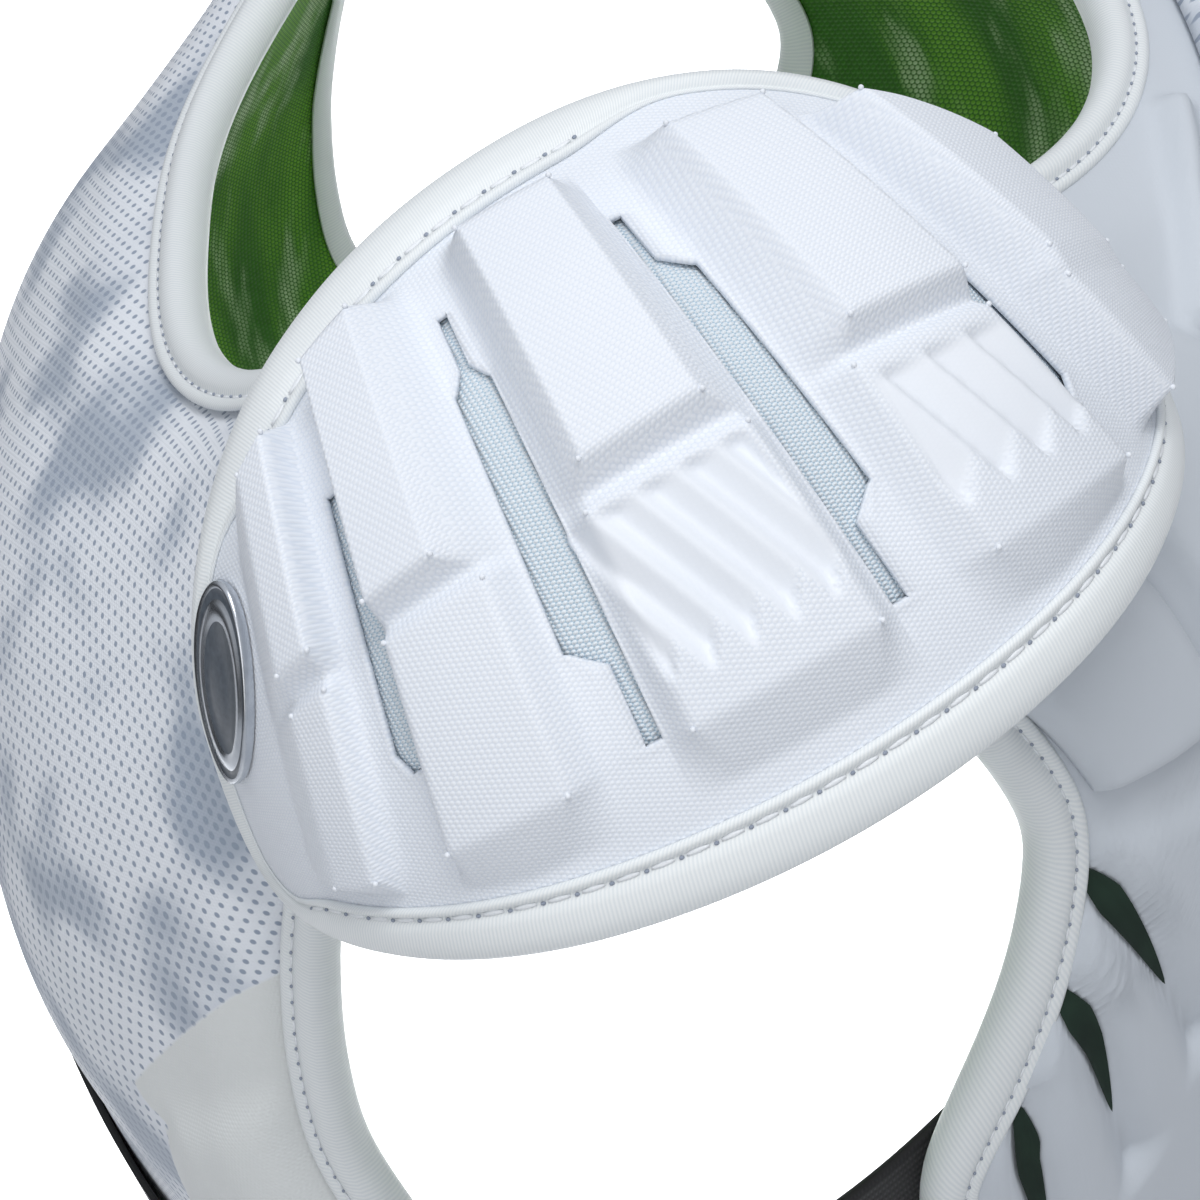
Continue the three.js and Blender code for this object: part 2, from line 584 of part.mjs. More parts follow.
function addCaps() {
  const columns = capColumns();
  const place = (i, j) => {
    const row = CAP_ROWS[THREE.MathUtils.clamp(j - 1, 0, CAP_ROWS.length - 1)];
    const guide = columns[i].at(row.arm, row.level);
    const fan = THREE.MathUtils.clamp(guide, CAP_PLATE.inset - tipFan(-1), tipFan(1) - CAP_PLATE.inset);
    const ribbed = columns[i].rib && j > 0 && j <= CAP_ROWS.length && row.level !== 'plate';
    return { fan, arm: capRowArm(fan, j), lift: ribbed ? columns[i].rib.rise[row.level] : CAP_PLATE.top };
  };
  const open = (i, j) => {
    const { slot } = columns[i];
    if (!slot || j === 0 || j >= CAP_ROWS.length) return false;
    return CAP_ROWS[j - 1].arm >= slot.top && CAP_ROWS[j].arm <= slot.bottom;
  };
  const shell = gridSolid(columns.length, CAP_ROWS.length + 2, (i, j) => {
    const { fan, arm, lift } = place(i, j);
    const girth = fanGirth(fan, arm);
    return { low: capForm(girth, arm, CAP_PLATE.bottom), high: capForm(girth, arm, lift) };
  }, open);

  const mesh = gridSolid(CAP_MESH.fans + 1, CAP_MESH.rows + 1, (i, j) => {
    const fan = THREE.MathUtils.lerp(...CAP_MESH.span, i / CAP_MESH.fans);
    const ends = [capInner(fan) + CAP_MESH.inset, capOuter(fan) - CAP_MESH.inset];
    const arm = THREE.MathUtils.lerp(...ends, j / CAP_MESH.rows);
    const girth = fanGirth(fan, arm);
    return { low: capForm(girth, arm, CAP_MESH.bottom), high: capForm(girth, arm, CAP_MESH.top) };
  });

  const section = tapeSection(CAP_TAPE, CAP_PLATE.bottom, CAP_PLATE.top);
  const outline = capOutline(place, columns.length, CAP_ROWS.length + 2);
  const tape = sweepSolid(outline.length, section, (k, { inset, lift }) => {
    const count = outline.length;
    const [before, after] = [outline[(k + count - 1) % count], outline[(k + 1) % count]];
    const run = after.spot.clone().sub(before.spot).normalize();
    const reach = inset > 0 ? inset * tapeShare(outline[k].fan, outline[k].spot.y) : inset;
    const spot = outline[k].spot.clone().add(new THREE.Vector2(-run.y, run.x).multiplyScalar(reach));
    return capForm(spot.x, spot.y, lift);
  }, true);

  const badge = discSolid(BADGE.spokes, (share, turn) => {
    const long = BADGE.halfLength * Math.cos(turn) * share;
    const wide = BADGE.halfWidth * Math.sin(turn) * share;
    const girth = BADGE.girth + long * Math.cos(BADGE.turn) - wide * Math.sin(BADGE.turn);
    const arm = BADGE.arm + long * Math.sin(BADGE.turn) + wide * Math.cos(BADGE.turn);
    return { low: capForm(girth, arm, BADGE.seat), high: capForm(girth, arm, BADGE.top) };
  });

  const pieces = {
    shoulder_cap: [shell, FINISH.foam], cap_mesh: [mesh, FINISH.mesh], cap_binding: [tape, FINISH.tape],
    cap_badge: [badge, FINISH.badge], cap_tab: [capTab(), FINISH.foam],
  };
  Object.entries(pieces).forEach(([name, [right, material]]) => {
    addNode(`${name}_right`, right, material);
    addNode(`${name}_left`, mirrored(right), material);
  });
}

addPanels();
addBodyTapes();
addSideStraps();
addCaps();

export default model;
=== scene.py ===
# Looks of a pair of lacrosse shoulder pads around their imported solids.
# Sizes are in millimetres until a mesh is made; +Z is up and the chest faces -Y.
import math

import bmesh
import bpy
import numpy as np
from mathutils import Matrix, Vector


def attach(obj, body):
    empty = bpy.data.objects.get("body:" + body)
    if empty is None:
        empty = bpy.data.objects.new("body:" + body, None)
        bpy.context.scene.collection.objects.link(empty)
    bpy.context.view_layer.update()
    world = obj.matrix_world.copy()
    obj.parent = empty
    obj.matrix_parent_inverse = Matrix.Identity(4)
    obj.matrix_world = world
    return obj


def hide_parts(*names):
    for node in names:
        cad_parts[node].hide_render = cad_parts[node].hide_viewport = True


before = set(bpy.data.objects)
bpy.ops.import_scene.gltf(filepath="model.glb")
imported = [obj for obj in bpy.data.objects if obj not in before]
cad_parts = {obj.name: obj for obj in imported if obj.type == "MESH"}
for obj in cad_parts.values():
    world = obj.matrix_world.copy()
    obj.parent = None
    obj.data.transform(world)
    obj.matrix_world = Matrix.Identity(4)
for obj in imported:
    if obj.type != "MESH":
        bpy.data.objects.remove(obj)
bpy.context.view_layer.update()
MM = 0.001

# Camera of the photograph
CAMERA_PLACE = (-507.2, -26.2, 233.4)
CAMERA_FORWARD = (0.762, 0.080, -0.643)
CAMERA_UP = (0.6424, -0.2268, 0.7325)
CAMERA_LENS = 75.0
CAMERA_SENSOR = 36.0
CAMERA_CLIP = (0.01, 50)

# Body form, as in the solids
HALF_WIDTH = 196.0
GIRTH_RADIUS = 183.0
SHOULDER_EDGE = 177.0
MIDDLE_DEPTH = dict(at_neck=-8.0, gain=24.0, gain_at=170.0)
RIDGE_HEIGHT = dict(at_neck=-6.0, fall=32.0)
FRONT_ARCH = dict(ridge=90.0, slope=math.radians(28), length=92.0, hip=85.0, stretch=0.45)
BACK_ARCH = dict(ridge=90.0, slope=math.radians(36), length=98.0, hip=122.0, stretch=0.12)
NECK_HALF_GIRTH = 112.0
NECK_SQUARENESS = 0.66
FRONT = dict(
    arch=FRONT_ARCH, sign=-1, neck_run=121.0, hem_middle=-262.0, hem_side=-282.0, thickness=9.0,
    armhole=((0, 150), (110, 182), (170, 189), (188, 206), (206, 238), (420, 248)),
)
BACK = dict(
    arch=BACK_ARCH, sign=1, neck_run=116.0, hem_middle=-300.0, hem_side=-285.0, thickness=14.0,
    armhole=((0, 150), (110, 185), (170, 200), (215, 207), (255, 227), (300, 243), (420, 243)),
)
ARMHOLE_REACH = 420.0
ARMHOLE_ROUNDING = 60
LEG_AT_ARMHOLE = 40.0
HEM_SIDE_GIRTH = 2 * NECK_HALF_GIRTH
HEM_SEARCH = dict(start=280.0, passes=6)
EDGE_THICKNESS = 5.0
EDGE_TAPER = 30.0
BODY_MIDDLE_HEIGHT = -0.13

# Grid of a panel: crowding of its columns at the armhole, least run beside the ridge, and what its rows
# are counted from: a share of the neck's run, and a length of the leg
COLUMN_CROWDING = 1.08
RIDGE_SPLIT = 0.2
NECK_ROWS = 1.15
LEG_ROWS = 150

# Cap form and pattern, as in the solids; fan is the girth where a line crosses the middle of the cap
CAP_CENTRE = np.array((-189.8, -9.4, -14.5))
CAP_AZIMUTH = math.radians(276.3)
CAP_ELEVATION = math.radians(49.6)
CAP_TWIST = math.radians(12.8)
CROWN_RADIUS = 130.0
FLANK_RADIUS = 78.0
CROWN_HALF_WIDTH = 45.0
ARM_RADIUS = 134.0
FAN = 0.0045
CAP = dict(back=128.5, front=125.0, tip=6.0, inner=76.0, power=2.6, outer=65.0, tilt=0.07)
CAP_LEAN = dict(reach=110, most=0.95)
PLATE_INSET = 3.0
PLATE_THICKNESS = 4.0
CAP_ROWS = (
    # arm, level, least distance from the nearest edge
    (-61, "plate", 11.5), (-54, "high", 15), (-48, "high", 16), (-37, "high", 17), (-33, "high", 18),
    (-22, "high", 19), (-9, "high", 20), (-4.6, "crease", 26.5), (-2.2, "low", 24), (6, "low", 19),
    (15, "low", 18), (20, "low", 17), (35, "low", 15.5), (46.5, "plate", 11.5),
)
STEP_ROW = 6
ROW_GAP = 0.6
CREASE_DEPTH = 2.4
WING_FANS = (-124, -117, -109, -100)
RIBS = (
    dict(base=(-88, -65), high=(-74, -66), low=(-76, -67), rise=dict(high=8, low=5)),
    dict(base=(-54.5, -28), high=(-52, -38.5), low=(-52.5, -33), rise=dict(high=10, low=6)),
    dict(base=(-18, 18), high=(-11, 11), low=(-14, 15), rise=dict(high=10, low=6)),
    dict(base=(28, 64), high=(38, 60.5), low=(34.5, 62), rise=dict(high=10, low=6)),
    dict(base=(75, 109), high=(82, 103), low=(81, 102.5), rise=dict(high=9, low=8, crease=8.4)),
)
SLOT_HALF = 4.4
SLOT_NECK_HALF = 1.4
UPPER_NOTCH = 4.0
LOWER_NOTCH = 5.0
SLOTS = (
    # Each neck leans towards one side of the slot
    dict(fan=-57.6, half=2.8, top=-33, bottom=20, neck_top=-48, neck_bottom=15, lean=(1, 1)),
    dict(fan=-23, top=-48, bottom=35, neck_top=-37, neck_bottom=15, lean=(0, 1)),
    dict(fan=23, top=-48, bottom=35, neck_top=-37, neck_bottom=15, lean=(-1, -1)),
    dict(fan=67.8, half=2.8, top=-33, bottom=20, neck_top=-48, neck_bottom=15, lean=(-1, -1)),
)
CAP_MESH = dict(
    fans=(-80, 82), margin=17, columns=120, rows=60, lift=-5.6, bulge=3.3, spread=2.4, rounding=3, wall=1.2,
    flat=(0.185, 0.105),
)

# Fine surface of the cap
CAP_PITCH = 0.75
CAP_ROUNDING = 1
ROW_SAMPLE = dict(half=90, count=9)
CREST = dict(height=7.0, softness=0.6)
SLOT_LIP = dict(height=0.4, width=0.8)
# Share of the wall beside a slot and how far away it is full, and the heights over which ribs lose it
SLOT_WALL = dict(share=0.3, full_at=6.0)
RIB_WALL = (0.2, 2.0)
# Flutes: region in girth and arm, pitch across, slant of girth for each mm down the arm, depth,
# offset across, and share of the pitch on the steep side
FLUTES = (
    dict(
        low=-15.0, high=13.5, top=-2.0, bottom=29.0,
        pitch=7.3, slant=0.396, depth=2.3, offset=1.5, steep=0.36,
    ),
    dict(
        low=38.0, high=67.0, top=0.0, bottom=27.0,
        pitch=8.4, slant=0.396, depth=1.7, offset=3.0, steep=0.14,
    ),
)
FLUTE_CUT = 8.0
FLUTE_EDGE = dict(top=2.5, end=0.5, side=0.8)
FLUTE_LEAN = dict(low=0.1, low_from=28, high=0.16)
FLUTE_SMOOTHNESS = 0.9
# Row of the cap pattern, counted from its inner edge, and level of each pair of pips
PIP_ROWS = ((2, "high"), (7, "high"), (9, "low"), (13, "low"))
PIP = dict(radius=0.52, sink=0.3, segments=8, rings=6)
BADGE = dict(
    girth=-93.0, arm=-20.5, half_length=23.0, half_width=9.6, turn=math.radians(128), corners=64,
)
# Share of the badge's radius, lift, and finish from there inwards
BADGE_PROFILE = (
    (0.97, 0.3, "rim"), (1.0, 1.4, "rim"), (0.985, 2.3, "rim"), (0.955, 2.7, "rim"), (0.925, 2.2, "face"),
    (0.83, 2.1, "rim"), (0.8, 2.5, "rim"), (0.67, 2.5, "rim"), (0.64, 2.1, "face"), (0.3, 2.4, "face"),
    (0.0, 2.5, "face"),
)

# Patterns of the finishes, in millimetres
FOAM_SCALE_PITCH = 1.1
FOAM_GRAIN_PITCH = 1.25
MESH_PITCH = 1.05
TAPE_RIB_PITCH = 0.9
DOT_PITCH = 3.4
FABRIC_WEAVE_PITCH = 0.9
LINING_PITCH = 1.8
WEBBING_RIB_PITCH = 2.0
BODY_EMBOSS = 0.12

# Relief of the front panel on its chart of girth and run
FRONT_COVER = dict(pitch=1.8, columns=112, wall=3.0)
FRONT_SLITS = (
    ((188, 178), (186, 192), (182, 214), (178, 232)),
    ((202, 191), (200, 205), (199, 224), (197, 240)),
    ((217, 203), (219, 214), (218, 240)),
)
SLIT_VALLEY = dict(half=2.0, depth=2.2, foot=2.0)
# Dark sheet of painted shade over the opening of a slit, with a little of the green lining: points of its
# path, step, half width, widest share, taper below, and height over the plates
SLIT_OPENING = dict(points=3, step=1.2, half=2.7, widest=0.2, taper=0.7, fullness=1.15, lift=1.1)
SLIT_STRIPS = (-1.0, -0.5, 0.0, 0.5, 1.0)
FRONT_GROOVE = ((130, 200), (160, 191), (176, 178), (186, 168), (200, 170), (216, 178), (240, 190))
GROOVE_HALF = 1.0
FEATHER = dict(rise=3.6, foot=1.5, edge=6.0, tape=11.0)
PLATE_FOOT = 0.5
FRONT_PLATES = (
    dict(corners=((104, 124), (104, 194), (150, 184), (141, 134)), rise=4.5, edge=5.0),
)
NECK_STRIP = dict(path=((52, 131), (75, 134), (100, 142)), half=5.5, rise=5.0)
PAD = dict(crowding=0.85, wall=1.6)
CHEST = dict(
    half=100.0, top=136.0, top_curve=13.0, bottom_share=0.85,
    seat=1.6, rise=7.4, edge=6.0, size=(200.0, 140), counts=(90, 60),
)
ARM_PAD = dict(
    corners=((146, 137), (178, 137), (179, 168), (154, 184)),
    seat=0.4, rise=6.0, edge=5.0, size=(31, 40), counts=(36, 40),
)

# Back panel: plain patch beside each armhole, soft folds and the cloth run
BACK_COVER = dict(pitch=4.0, columns=58, sink=1.5, wall=3.0)
BACK_PLAIN = ((146, 230), (172, 232), (240, 180), (240, 120), (206, 134), (182, 179))
BACK_BLOCK = dict(corners=((166, 226), (214, 178), (226, 236), (160, 268)), rise=4.5, edge=7.0, tape=9.5)
PRINT_REACH = 8
BACK_FOLDS = (
    dict(across=0.9, down=0.35, length=88.0, depth=0.9, start=0.4),
    dict(across=-0.5, down=0.8, length=120.0, depth=0.9, start=1.9),
)
# Distances from a sewn edge at which the billowing and the tuck start and end
BACK_BILLOW = (16, 50)
BACK_TUCK = dict(depth=1.2, under_tape=(6.5, 14))
NECK_POINTS = 60
CLOTH = dict(pressure=4.0, growth=0.005, frames=20, quality=6, least=1e-6, most=5.0)

# Linings: the cut's width in metres, and the share of the cut that the neck and armholes leave
LINING_SHEET = dict(lift=-0.6, pitch=6.0, columns=40, wall=2.0, cut_width=0.44, left_share=0.75)

# Tape on the caps, with its places along the edge; narrow along parts of the back wing and of the front
CAP_TAPE = dict(reach=10.5, seat=2.2, across=160, down=60, step=2.0, round_step=1.5, rounding=6)
TAPE_NARROW = dict(share=0.34, back=(-84, -104), front=(18, 60), front_above=24.0, rounding=8)
# Section of that tape: share of the reach into the cap, offset from the edge, lift
CAP_TAPE_SECTION = (
    (1.0, 0.0, 0.1), (1.0, 0.1, 0.8), (1.0, -0.3, 1.4), (1.0, -1.0, 1.6), (1.0, -1.7, 1.2),
    (1.0, -2.2, 0.6), (1.0, -2.9, 0.6), (1.0, -3.5, 1.2), (0.5, 0.0, 1.8), (0.2, 0.0, 1.8),
    (0.0, -0.9, 1.5), (0.0, -2.0, 0.6), (0.0, -2.6, -1.0), (0.0, -2.7, -2.6), (0.0, -2.3, -4.2),
    (0.0, -1.2, -5.6), (0.3, 0.0, -6.1), (0.9, 0.0, -6.0), (0.9, 0.0, -5.1), (0.2, 0.0, -5.0),
    (0.0, -0.9, -2.4), (0.2, 0.0, 0.35),
)
CAP_SEAM = dict(inset=2.55, lift=0.75, pitch=6.2, length=4.9, radius=0.5, least_reach=9.6)

# Tape on the panels: inset from the edge, lift, and whether the lift is above the panel's face
BODY_TAPE = dict(step=2.5, round_step=1.6, neck_points=720)
BODY_TAPE_SECTION = (
    (8.0, -0.5, True), (7.8, 0.4, True), (7.1, 1.0, True), (6.2, 1.2, True), (5.4, 0.8, True),
    (4.9, 0.4, True), (4.4, 0.7, True), (3.5, 1.5, True), (2.4, 1.9, True), (1.0, 1.8, True),
    (-0.5, 1.2, True), (-1.9, 4.4, False), (-2.6, 2.4, False), (-2.7, 0.4, False), (-2.3, -1.6, False),
    (-1.2, -3.2, False), (0.6, -4.1, False), (4.0, -4.3, False), (8.6, -4.1, False), (9.0, -3.4, False),
    (0.4, -3.1, False), (-0.8, -2.0, False), (-0.8, 3.6, False), (1.5, -0.2, True),
)
BODY_SEAM = dict(inset=4.9, lift=0.65, pitch=4.2, length=3.2, radius=0.3)

# Stitches and the dark lumps of painted shade that stand for the needle holes between them
STITCH = dict(flatness=0.7, segments=6, rings=5, course_step=0.5)
NEEDLE_HOLE = dict(beyond=0.5, aside=0.15, sizes=(0.5, 0.38, 0.3))

# Side straps and cap tabs, as in the solids
STRAP = dict(
    width=38.0, thickness=1.6, front_height=-176.0, back_height=-210.0, sag=47.0, inside=-8.0, outside=14.6,
    start=math.radians(58), leave=math.radians(83), arrive=math.radians(102), end=math.radians(156),
    length=330.0, middle=0.8, columns=120, rows=14,
)
CAP_TAB = dict(girths=(-12.0, 15.0), arms=(-71.0, -62.0), under_cap=-6.8, over_bridge=3.7, cells=(9, 4))

# Distances in metres under which points are one, and girth that counts as the middle
SAME_POINT = 1e-6
SAME_AT_MIRROR = 1e-5
MIDDLE_GIRTH = 1e-6

# Studio: lamps as name, place, target, size in metres and power
FLOOR = dict(height=-2.5, size=12, cells=4)
WORLD = dict(colour="#F4F8FF", above=0.66, below=0.05, dusk=(0.0, 0.8), backdrop=0.8)
LAMPS = (
    ("key", (-0.36, -0.24, 0.83), (-0.19, -0.01, -0.02), 0.45, 3.9),
    ("fill", (-0.72, 0.14, 0.16), (-0.19, 0.02, -0.06), 0.6, 1.1),
    ("floor_wash", (3.2, 0.3, -0.9), (3.2, 0.3, -2.5), 4.5, 240.0),
)


def mix(low, high, share):
    """Value at a share of the way from low to high."""
    return low + (high - low) * share


def ramp(place, start, full):
    """Share that grows evenly from 0 at the start to 1 where it is full."""
    return np.clip((place - start) / (full - start), 0, 1)


def soft_ramp(place, start, full):
    """The same share with a soft start and end."""
    share = ramp(place, start, full)
    return share * share * (3 - 2 * share)


def smoothed(field, passes):
    """A field of heights with its creases rounded."""
    for _ in range(passes):
        for axis in (axis for axis in (0, 1) if field.shape[axis] > 1):
            padded = np.concatenate([field.take([0], axis), field, field.take([-1], axis)], axis)
            count = field.shape[axis]
            before = padded.take(range(0, count), axis)
            after = padded.take(range(2, count + 2), axis)
            field = (before + 2 * field + after) / 4
    return field


# Body form


def arch_at(arch, run):
    """Depth, drop and leg of an arch after a run from the ridge."""
    ridge_run = arch["ridge"] * arch["slope"]
    hip_run = arch["hip"] * (math.pi / 2 - arch["slope"])
    ridge = np.minimum(run, ridge_run) / arch["ridge"]
    straight = np.clip(run - ridge_run, 0, arch["length"])
    hip = arch["slope"] + np.clip(run - ridge_run - arch["length"], 0, hip_run) / arch["hip"]
    sine = math.sin(arch["slope"])
    cosine = math.cos(arch["slope"])
    depth = arch["ridge"] * np.sin(ridge) + straight * cosine + arch["hip"] * (np.sin(hip) - sine)
    drop = arch["ridge"] * (1 - np.cos(ridge)) + straight * sine + arch["hip"] * (cosine - np.cos(hip))
    leg = np.maximum(run - ridge_run - arch["length"] - hip_run, 0)
    return depth, drop, leg


def arch_run(arch):
    """Run from the ridge to the end of the hip, where the leg starts."""
    return arch["ridge"] * arch["slope"] + arch["length"] + arch["hip"] * (math.pi / 2 - arch["slope"])


def middle_depth(x):
    """Depth of the shoulder ridge at a distance from the middle."""
    return MIDDLE_DEPTH["at_neck"] + MIDDLE_DEPTH["gain"] * (x / MIDDLE_DEPTH["gain_at"]) ** 2


def ridge_height(x):
    """Height of the shoulder ridge at a distance from the middle."""
    return RIDGE_HEIGHT["at_neck"] - RIDGE_HEIGHT["fall"] * np.abs(x / SHOULDER_EDGE) ** 3


def side_stretch(arch, x):
    """How many times an arch's drop grows towards the shoulder's edge."""
    return 1 + arch["stretch"] * np.abs(x / SHOULDER_EDGE) ** 3


def lateral(girth):
    """Distance from the middle plane at a girth."""
    return HALF_WIDTH * np.sin(girth / GIRTH_RADIUS)


def body_point(girth, run):
    """Points of the body's inner surface; the run is positive down the back, negative down the front."""
    x = lateral(girth)
    found = [arch_at(arch, np.abs(run)) for arch in (FRONT_ARCH, BACK_ARCH)]
    stretch = [side_stretch(arch, x) for arch in (FRONT_ARCH, BACK_ARCH)]
    front = run < 0
    depth = np.where(front, found[0][0], found[1][0])
    drop = np.where(front, found[0][1] * stretch[0], found[1][1] * stretch[1])
    leg = np.where(front, found[0][2], found[1][2])
    y = middle_depth(x) + np.sign(run) * depth * np.cos(girth / GIRTH_RADIUS)
    return np.stack([x, y, ridge_height(x) - drop - leg], -1)


def body_form(girth, run, lift):
    """Points at a lift above that surface, along its normal."""
    girth, run, lift = np.broadcast_arrays(np.asarray(girth, float), np.asarray(run, float), lift)
    step = 0.5
    across = body_point(girth + step, run) - body_point(girth - step, run)
    down = body_point(girth, run + step) - body_point(girth, run - step)
    normal = np.cross(across, down)
    normal /= np.linalg.norm(normal, axis=-1, keepdims=True)
    return body_point(girth, run) + normal * lift[..., None]


def armhole_line():
    """Girth of the armhole edge at each signed run in mm, with the corners of the solids rounded."""
    runs = np.arange(-ARMHOLE_REACH, ARMHOLE_REACH + 1)
    girths = [np.interp(np.abs(runs), *zip(*panel["armhole"])) for panel in (FRONT, BACK)]
    girth = np.where(runs < 0, girths[0], girths[1])
    return runs, smoothed(girth[:, None], ARMHOLE_ROUNDING)[:, 0]


def armhole_girth(panel, run):
    """Girth of a panel's armhole edge at a run."""
    return np.interp(panel["sign"] * run, ARMHOLE_RUNS, ARMHOLE_GIRTHS)


def neck_girth(angle):
    """Girth of the neck edge at an angle round it, 0 on the shoulder ridge."""
    return NECK_HALF_GIRTH * np.maximum(np.cos(angle), 0) ** NECK_SQUARENESS


def panel_thickness(panel, girth, run):
    """Thin along the bound edges and full in the middle, as in the solids."""
    across = (np.abs(girth) / NECK_HALF_GIRTH) ** (1 / NECK_SQUARENESS)
    neck = (np.hypot(across, run / panel["neck_run"]) - 1) * panel["neck_run"]
    edge = armhole_girth(panel, run) - np.abs(girth)
    return mix(EDGE_THICKNESS, panel["thickness"], soft_ramp(np.minimum(neck, edge), 0, EDGE_TAPER))


def hem_run(panel, girth):
    """Run at which a panel reaches its hem."""
    x = lateral(girth)
    arch = panel["arch"]
    drop = arch_at(arch, np.array(arch_run(arch)))[1]
    leg_top = ridge_height(x) - drop * side_stretch(arch, x)
    share = np.minimum((girth / HEM_SIDE_GIRTH) ** 2, 1)
    return arch_run(arch) + leg_top - mix(panel["hem_middle"], panel["hem_side"], share)


def panel_grid(panel, pitch, columns):
    """Girth and run of the corners of a panel's left half, from the shoulder ridge to the hem."""
    shares = 1 - (1 - np.linspace(0, 1, columns)) ** COLUMN_CROWDING
    leg_top = arch_run(panel["arch"])
    grid = []
    # Beside the neck the rows start evenly round the neck edge and end evenly along the armhole
    for share in np.linspace(0, 1, int(panel["neck_run"] * NECK_ROWS / pitch)):
        angle = share * math.pi / 2
        inner = max(panel["neck_run"] * math.sin(angle), RIDGE_SPLIT)
        outer = max(panel["neck_run"] * share, RIDGE_SPLIT)
        girth = mix(float(neck_girth(angle)), armhole_girth(panel, outer), shares)
        grid.append((girth, mix(inner, outer, shares)))
    for run in np.arange(panel["neck_run"] + pitch, leg_top, pitch):
        grid.append((mix(0.0, armhole_girth(panel, run), shares), np.full(columns, run)))
    for share in np.linspace(0, 1, int(LEG_ROWS / pitch)):
        edge = float(armhole_girth(panel, leg_top + share * LEG_AT_ARMHOLE))
        girth = mix(0.0, edge, shares)
        grid.append((girth, mix(leg_top, hem_run(panel, girth), share)))
    return np.array([row[0] for row in grid]), np.array([row[1] for row in grid])


# Cap form


def cap_axes():
    """Axes of the right cap: outward, across its ribs and down the arm."""
    out = np.array((
        math.sin(CAP_AZIMUTH) * math.cos(CAP_ELEVATION),
        -math.cos(CAP_AZIMUTH) * math.cos(CAP_ELEVATION),
        math.sin(CAP_ELEVATION),
    ))
    level = np.cross((0, 0, 1), out)
    level /= np.linalg.norm(level)
    up = np.cross(out, level)
    across = level * math.cos(CAP_TWIST) + up * math.sin(CAP_TWIST)
    down = -up * math.cos(CAP_TWIST) + level * math.sin(CAP_TWIST)
    return out, across, down


CAP_OUT, CAP_ACROSS, CAP_DOWN = cap_axes()
ARMHOLE_RUNS, ARMHOLE_GIRTHS = armhole_line()


def cap_form(girth, arm, lift):
    """Points of the right cap at a girth across the ribs, a run down the arm and a lift."""
    girth, arm, lift = np.broadcast_arrays(np.asarray(girth, float), np.asarray(arm, float), lift)
    size = np.abs(girth)
    crown = np.minimum(size, CROWN_HALF_WIDTH) / CROWN_RADIUS
    turn = crown + np.maximum(size - CROWN_HALF_WIDTH, 0) / FLANK_RADIUS
    reach = CROWN_RADIUS * np.sin(crown) + FLANK_RADIUS * (np.sin(turn) - np.sin(crown))
    sink = CROWN_RADIUS * (1 - np.cos(crown)) + FLANK_RADIUS * (np.cos(crown) - np.cos(turn))
    swing = arm / ARM_RADIUS
    radius = ARM_RADIUS - sink + lift * np.cos(turn)
    side = np.sign(girth) * (reach + lift * np.sin(turn))
    return (
        CAP_CENTRE
        + CAP_OUT * (radius * np.cos(swing) - ARM_RADIUS)[..., None]
        + CAP_DOWN * (radius * np.sin(swing))[..., None]
        + CAP_ACROSS * side[..., None]
    )


def fan_girth(fan, arm):
    """Girth of a fan line at an arm; the lines spread down the arm."""
    return fan * (1 + FAN * arm)


def half_fan(fan):
    """Fan at which the ends of the cap's two edges would meet."""
    return np.where(fan < 0, CAP["back"], CAP["front"])


def cap_inner(fan):
    """Arm of the cap's inner edge, towards the neck."""
    share = np.abs(fan / half_fan(fan)) ** CAP["power"]
    return -CAP["inner"] * np.maximum(1 - share, 0) ** (1 / CAP["power"]) - CAP["tilt"] * fan


def cap_outer(fan):
    """Arm of the cap's outer edge, down the arm."""
    return CAP["outer"] * np.sqrt(np.maximum(1 - (fan / half_fan(fan)) ** 2, 0))


def cap_row_arm(fan, row):
    """Arm of a row of the cap pattern on fan lines, held clear of the inner and outer edge."""
    top = cap_inner(fan) + PLATE_INSET
    bottom = cap_outer(fan) - PLATE_INSET
    if row == 0:
        return top
    if row > len(CAP_ROWS):
        return bottom
    arm, _, clear = CAP_ROWS[row - 1]
    beyond_step = row - 1 - STEP_ROW
    edge = cap_inner if beyond_step <= 0 else cap_outer
    square = np.hypot(1, (edge(fan + 1) - edge(fan - 1)) / 2)
    near_middle = (top + bottom) / 2 + beyond_step
    if beyond_step <= 0:
        return np.maximum(arm, np.minimum(top + clear * square, near_middle))
    lower = np.minimum(arm, np.maximum(bottom - clear * square, near_middle))
    return np.maximum(lower, cap_row_arm(fan, STEP_ROW + 1) + ROW_GAP * beyond_step)


def slot_half(slot, arm):
    """Half width of a slot at an arm row: a wide middle with a narrow neck at each end."""
    upper = ramp(arm, slot["neck_top"], slot["neck_top"] + UPPER_NOTCH)
    lower = ramp(arm, slot["neck_bottom"] + LOWER_NOTCH, slot["neck_bottom"])
    return mix(SLOT_NECK_HALF, slot.get("half", SLOT_HALF), np.minimum(upper, lower))


def slot_centre(slot, arm):
    """Fan of the middle of a slot at an arm row."""
    lean = np.where(np.asarray(arm) < (slot["top"] + slot["bottom"]) / 2, *slot["lean"])
    return slot["fan"] + lean * (slot.get("half", SLOT_HALF) - slot_half(slot, arm))


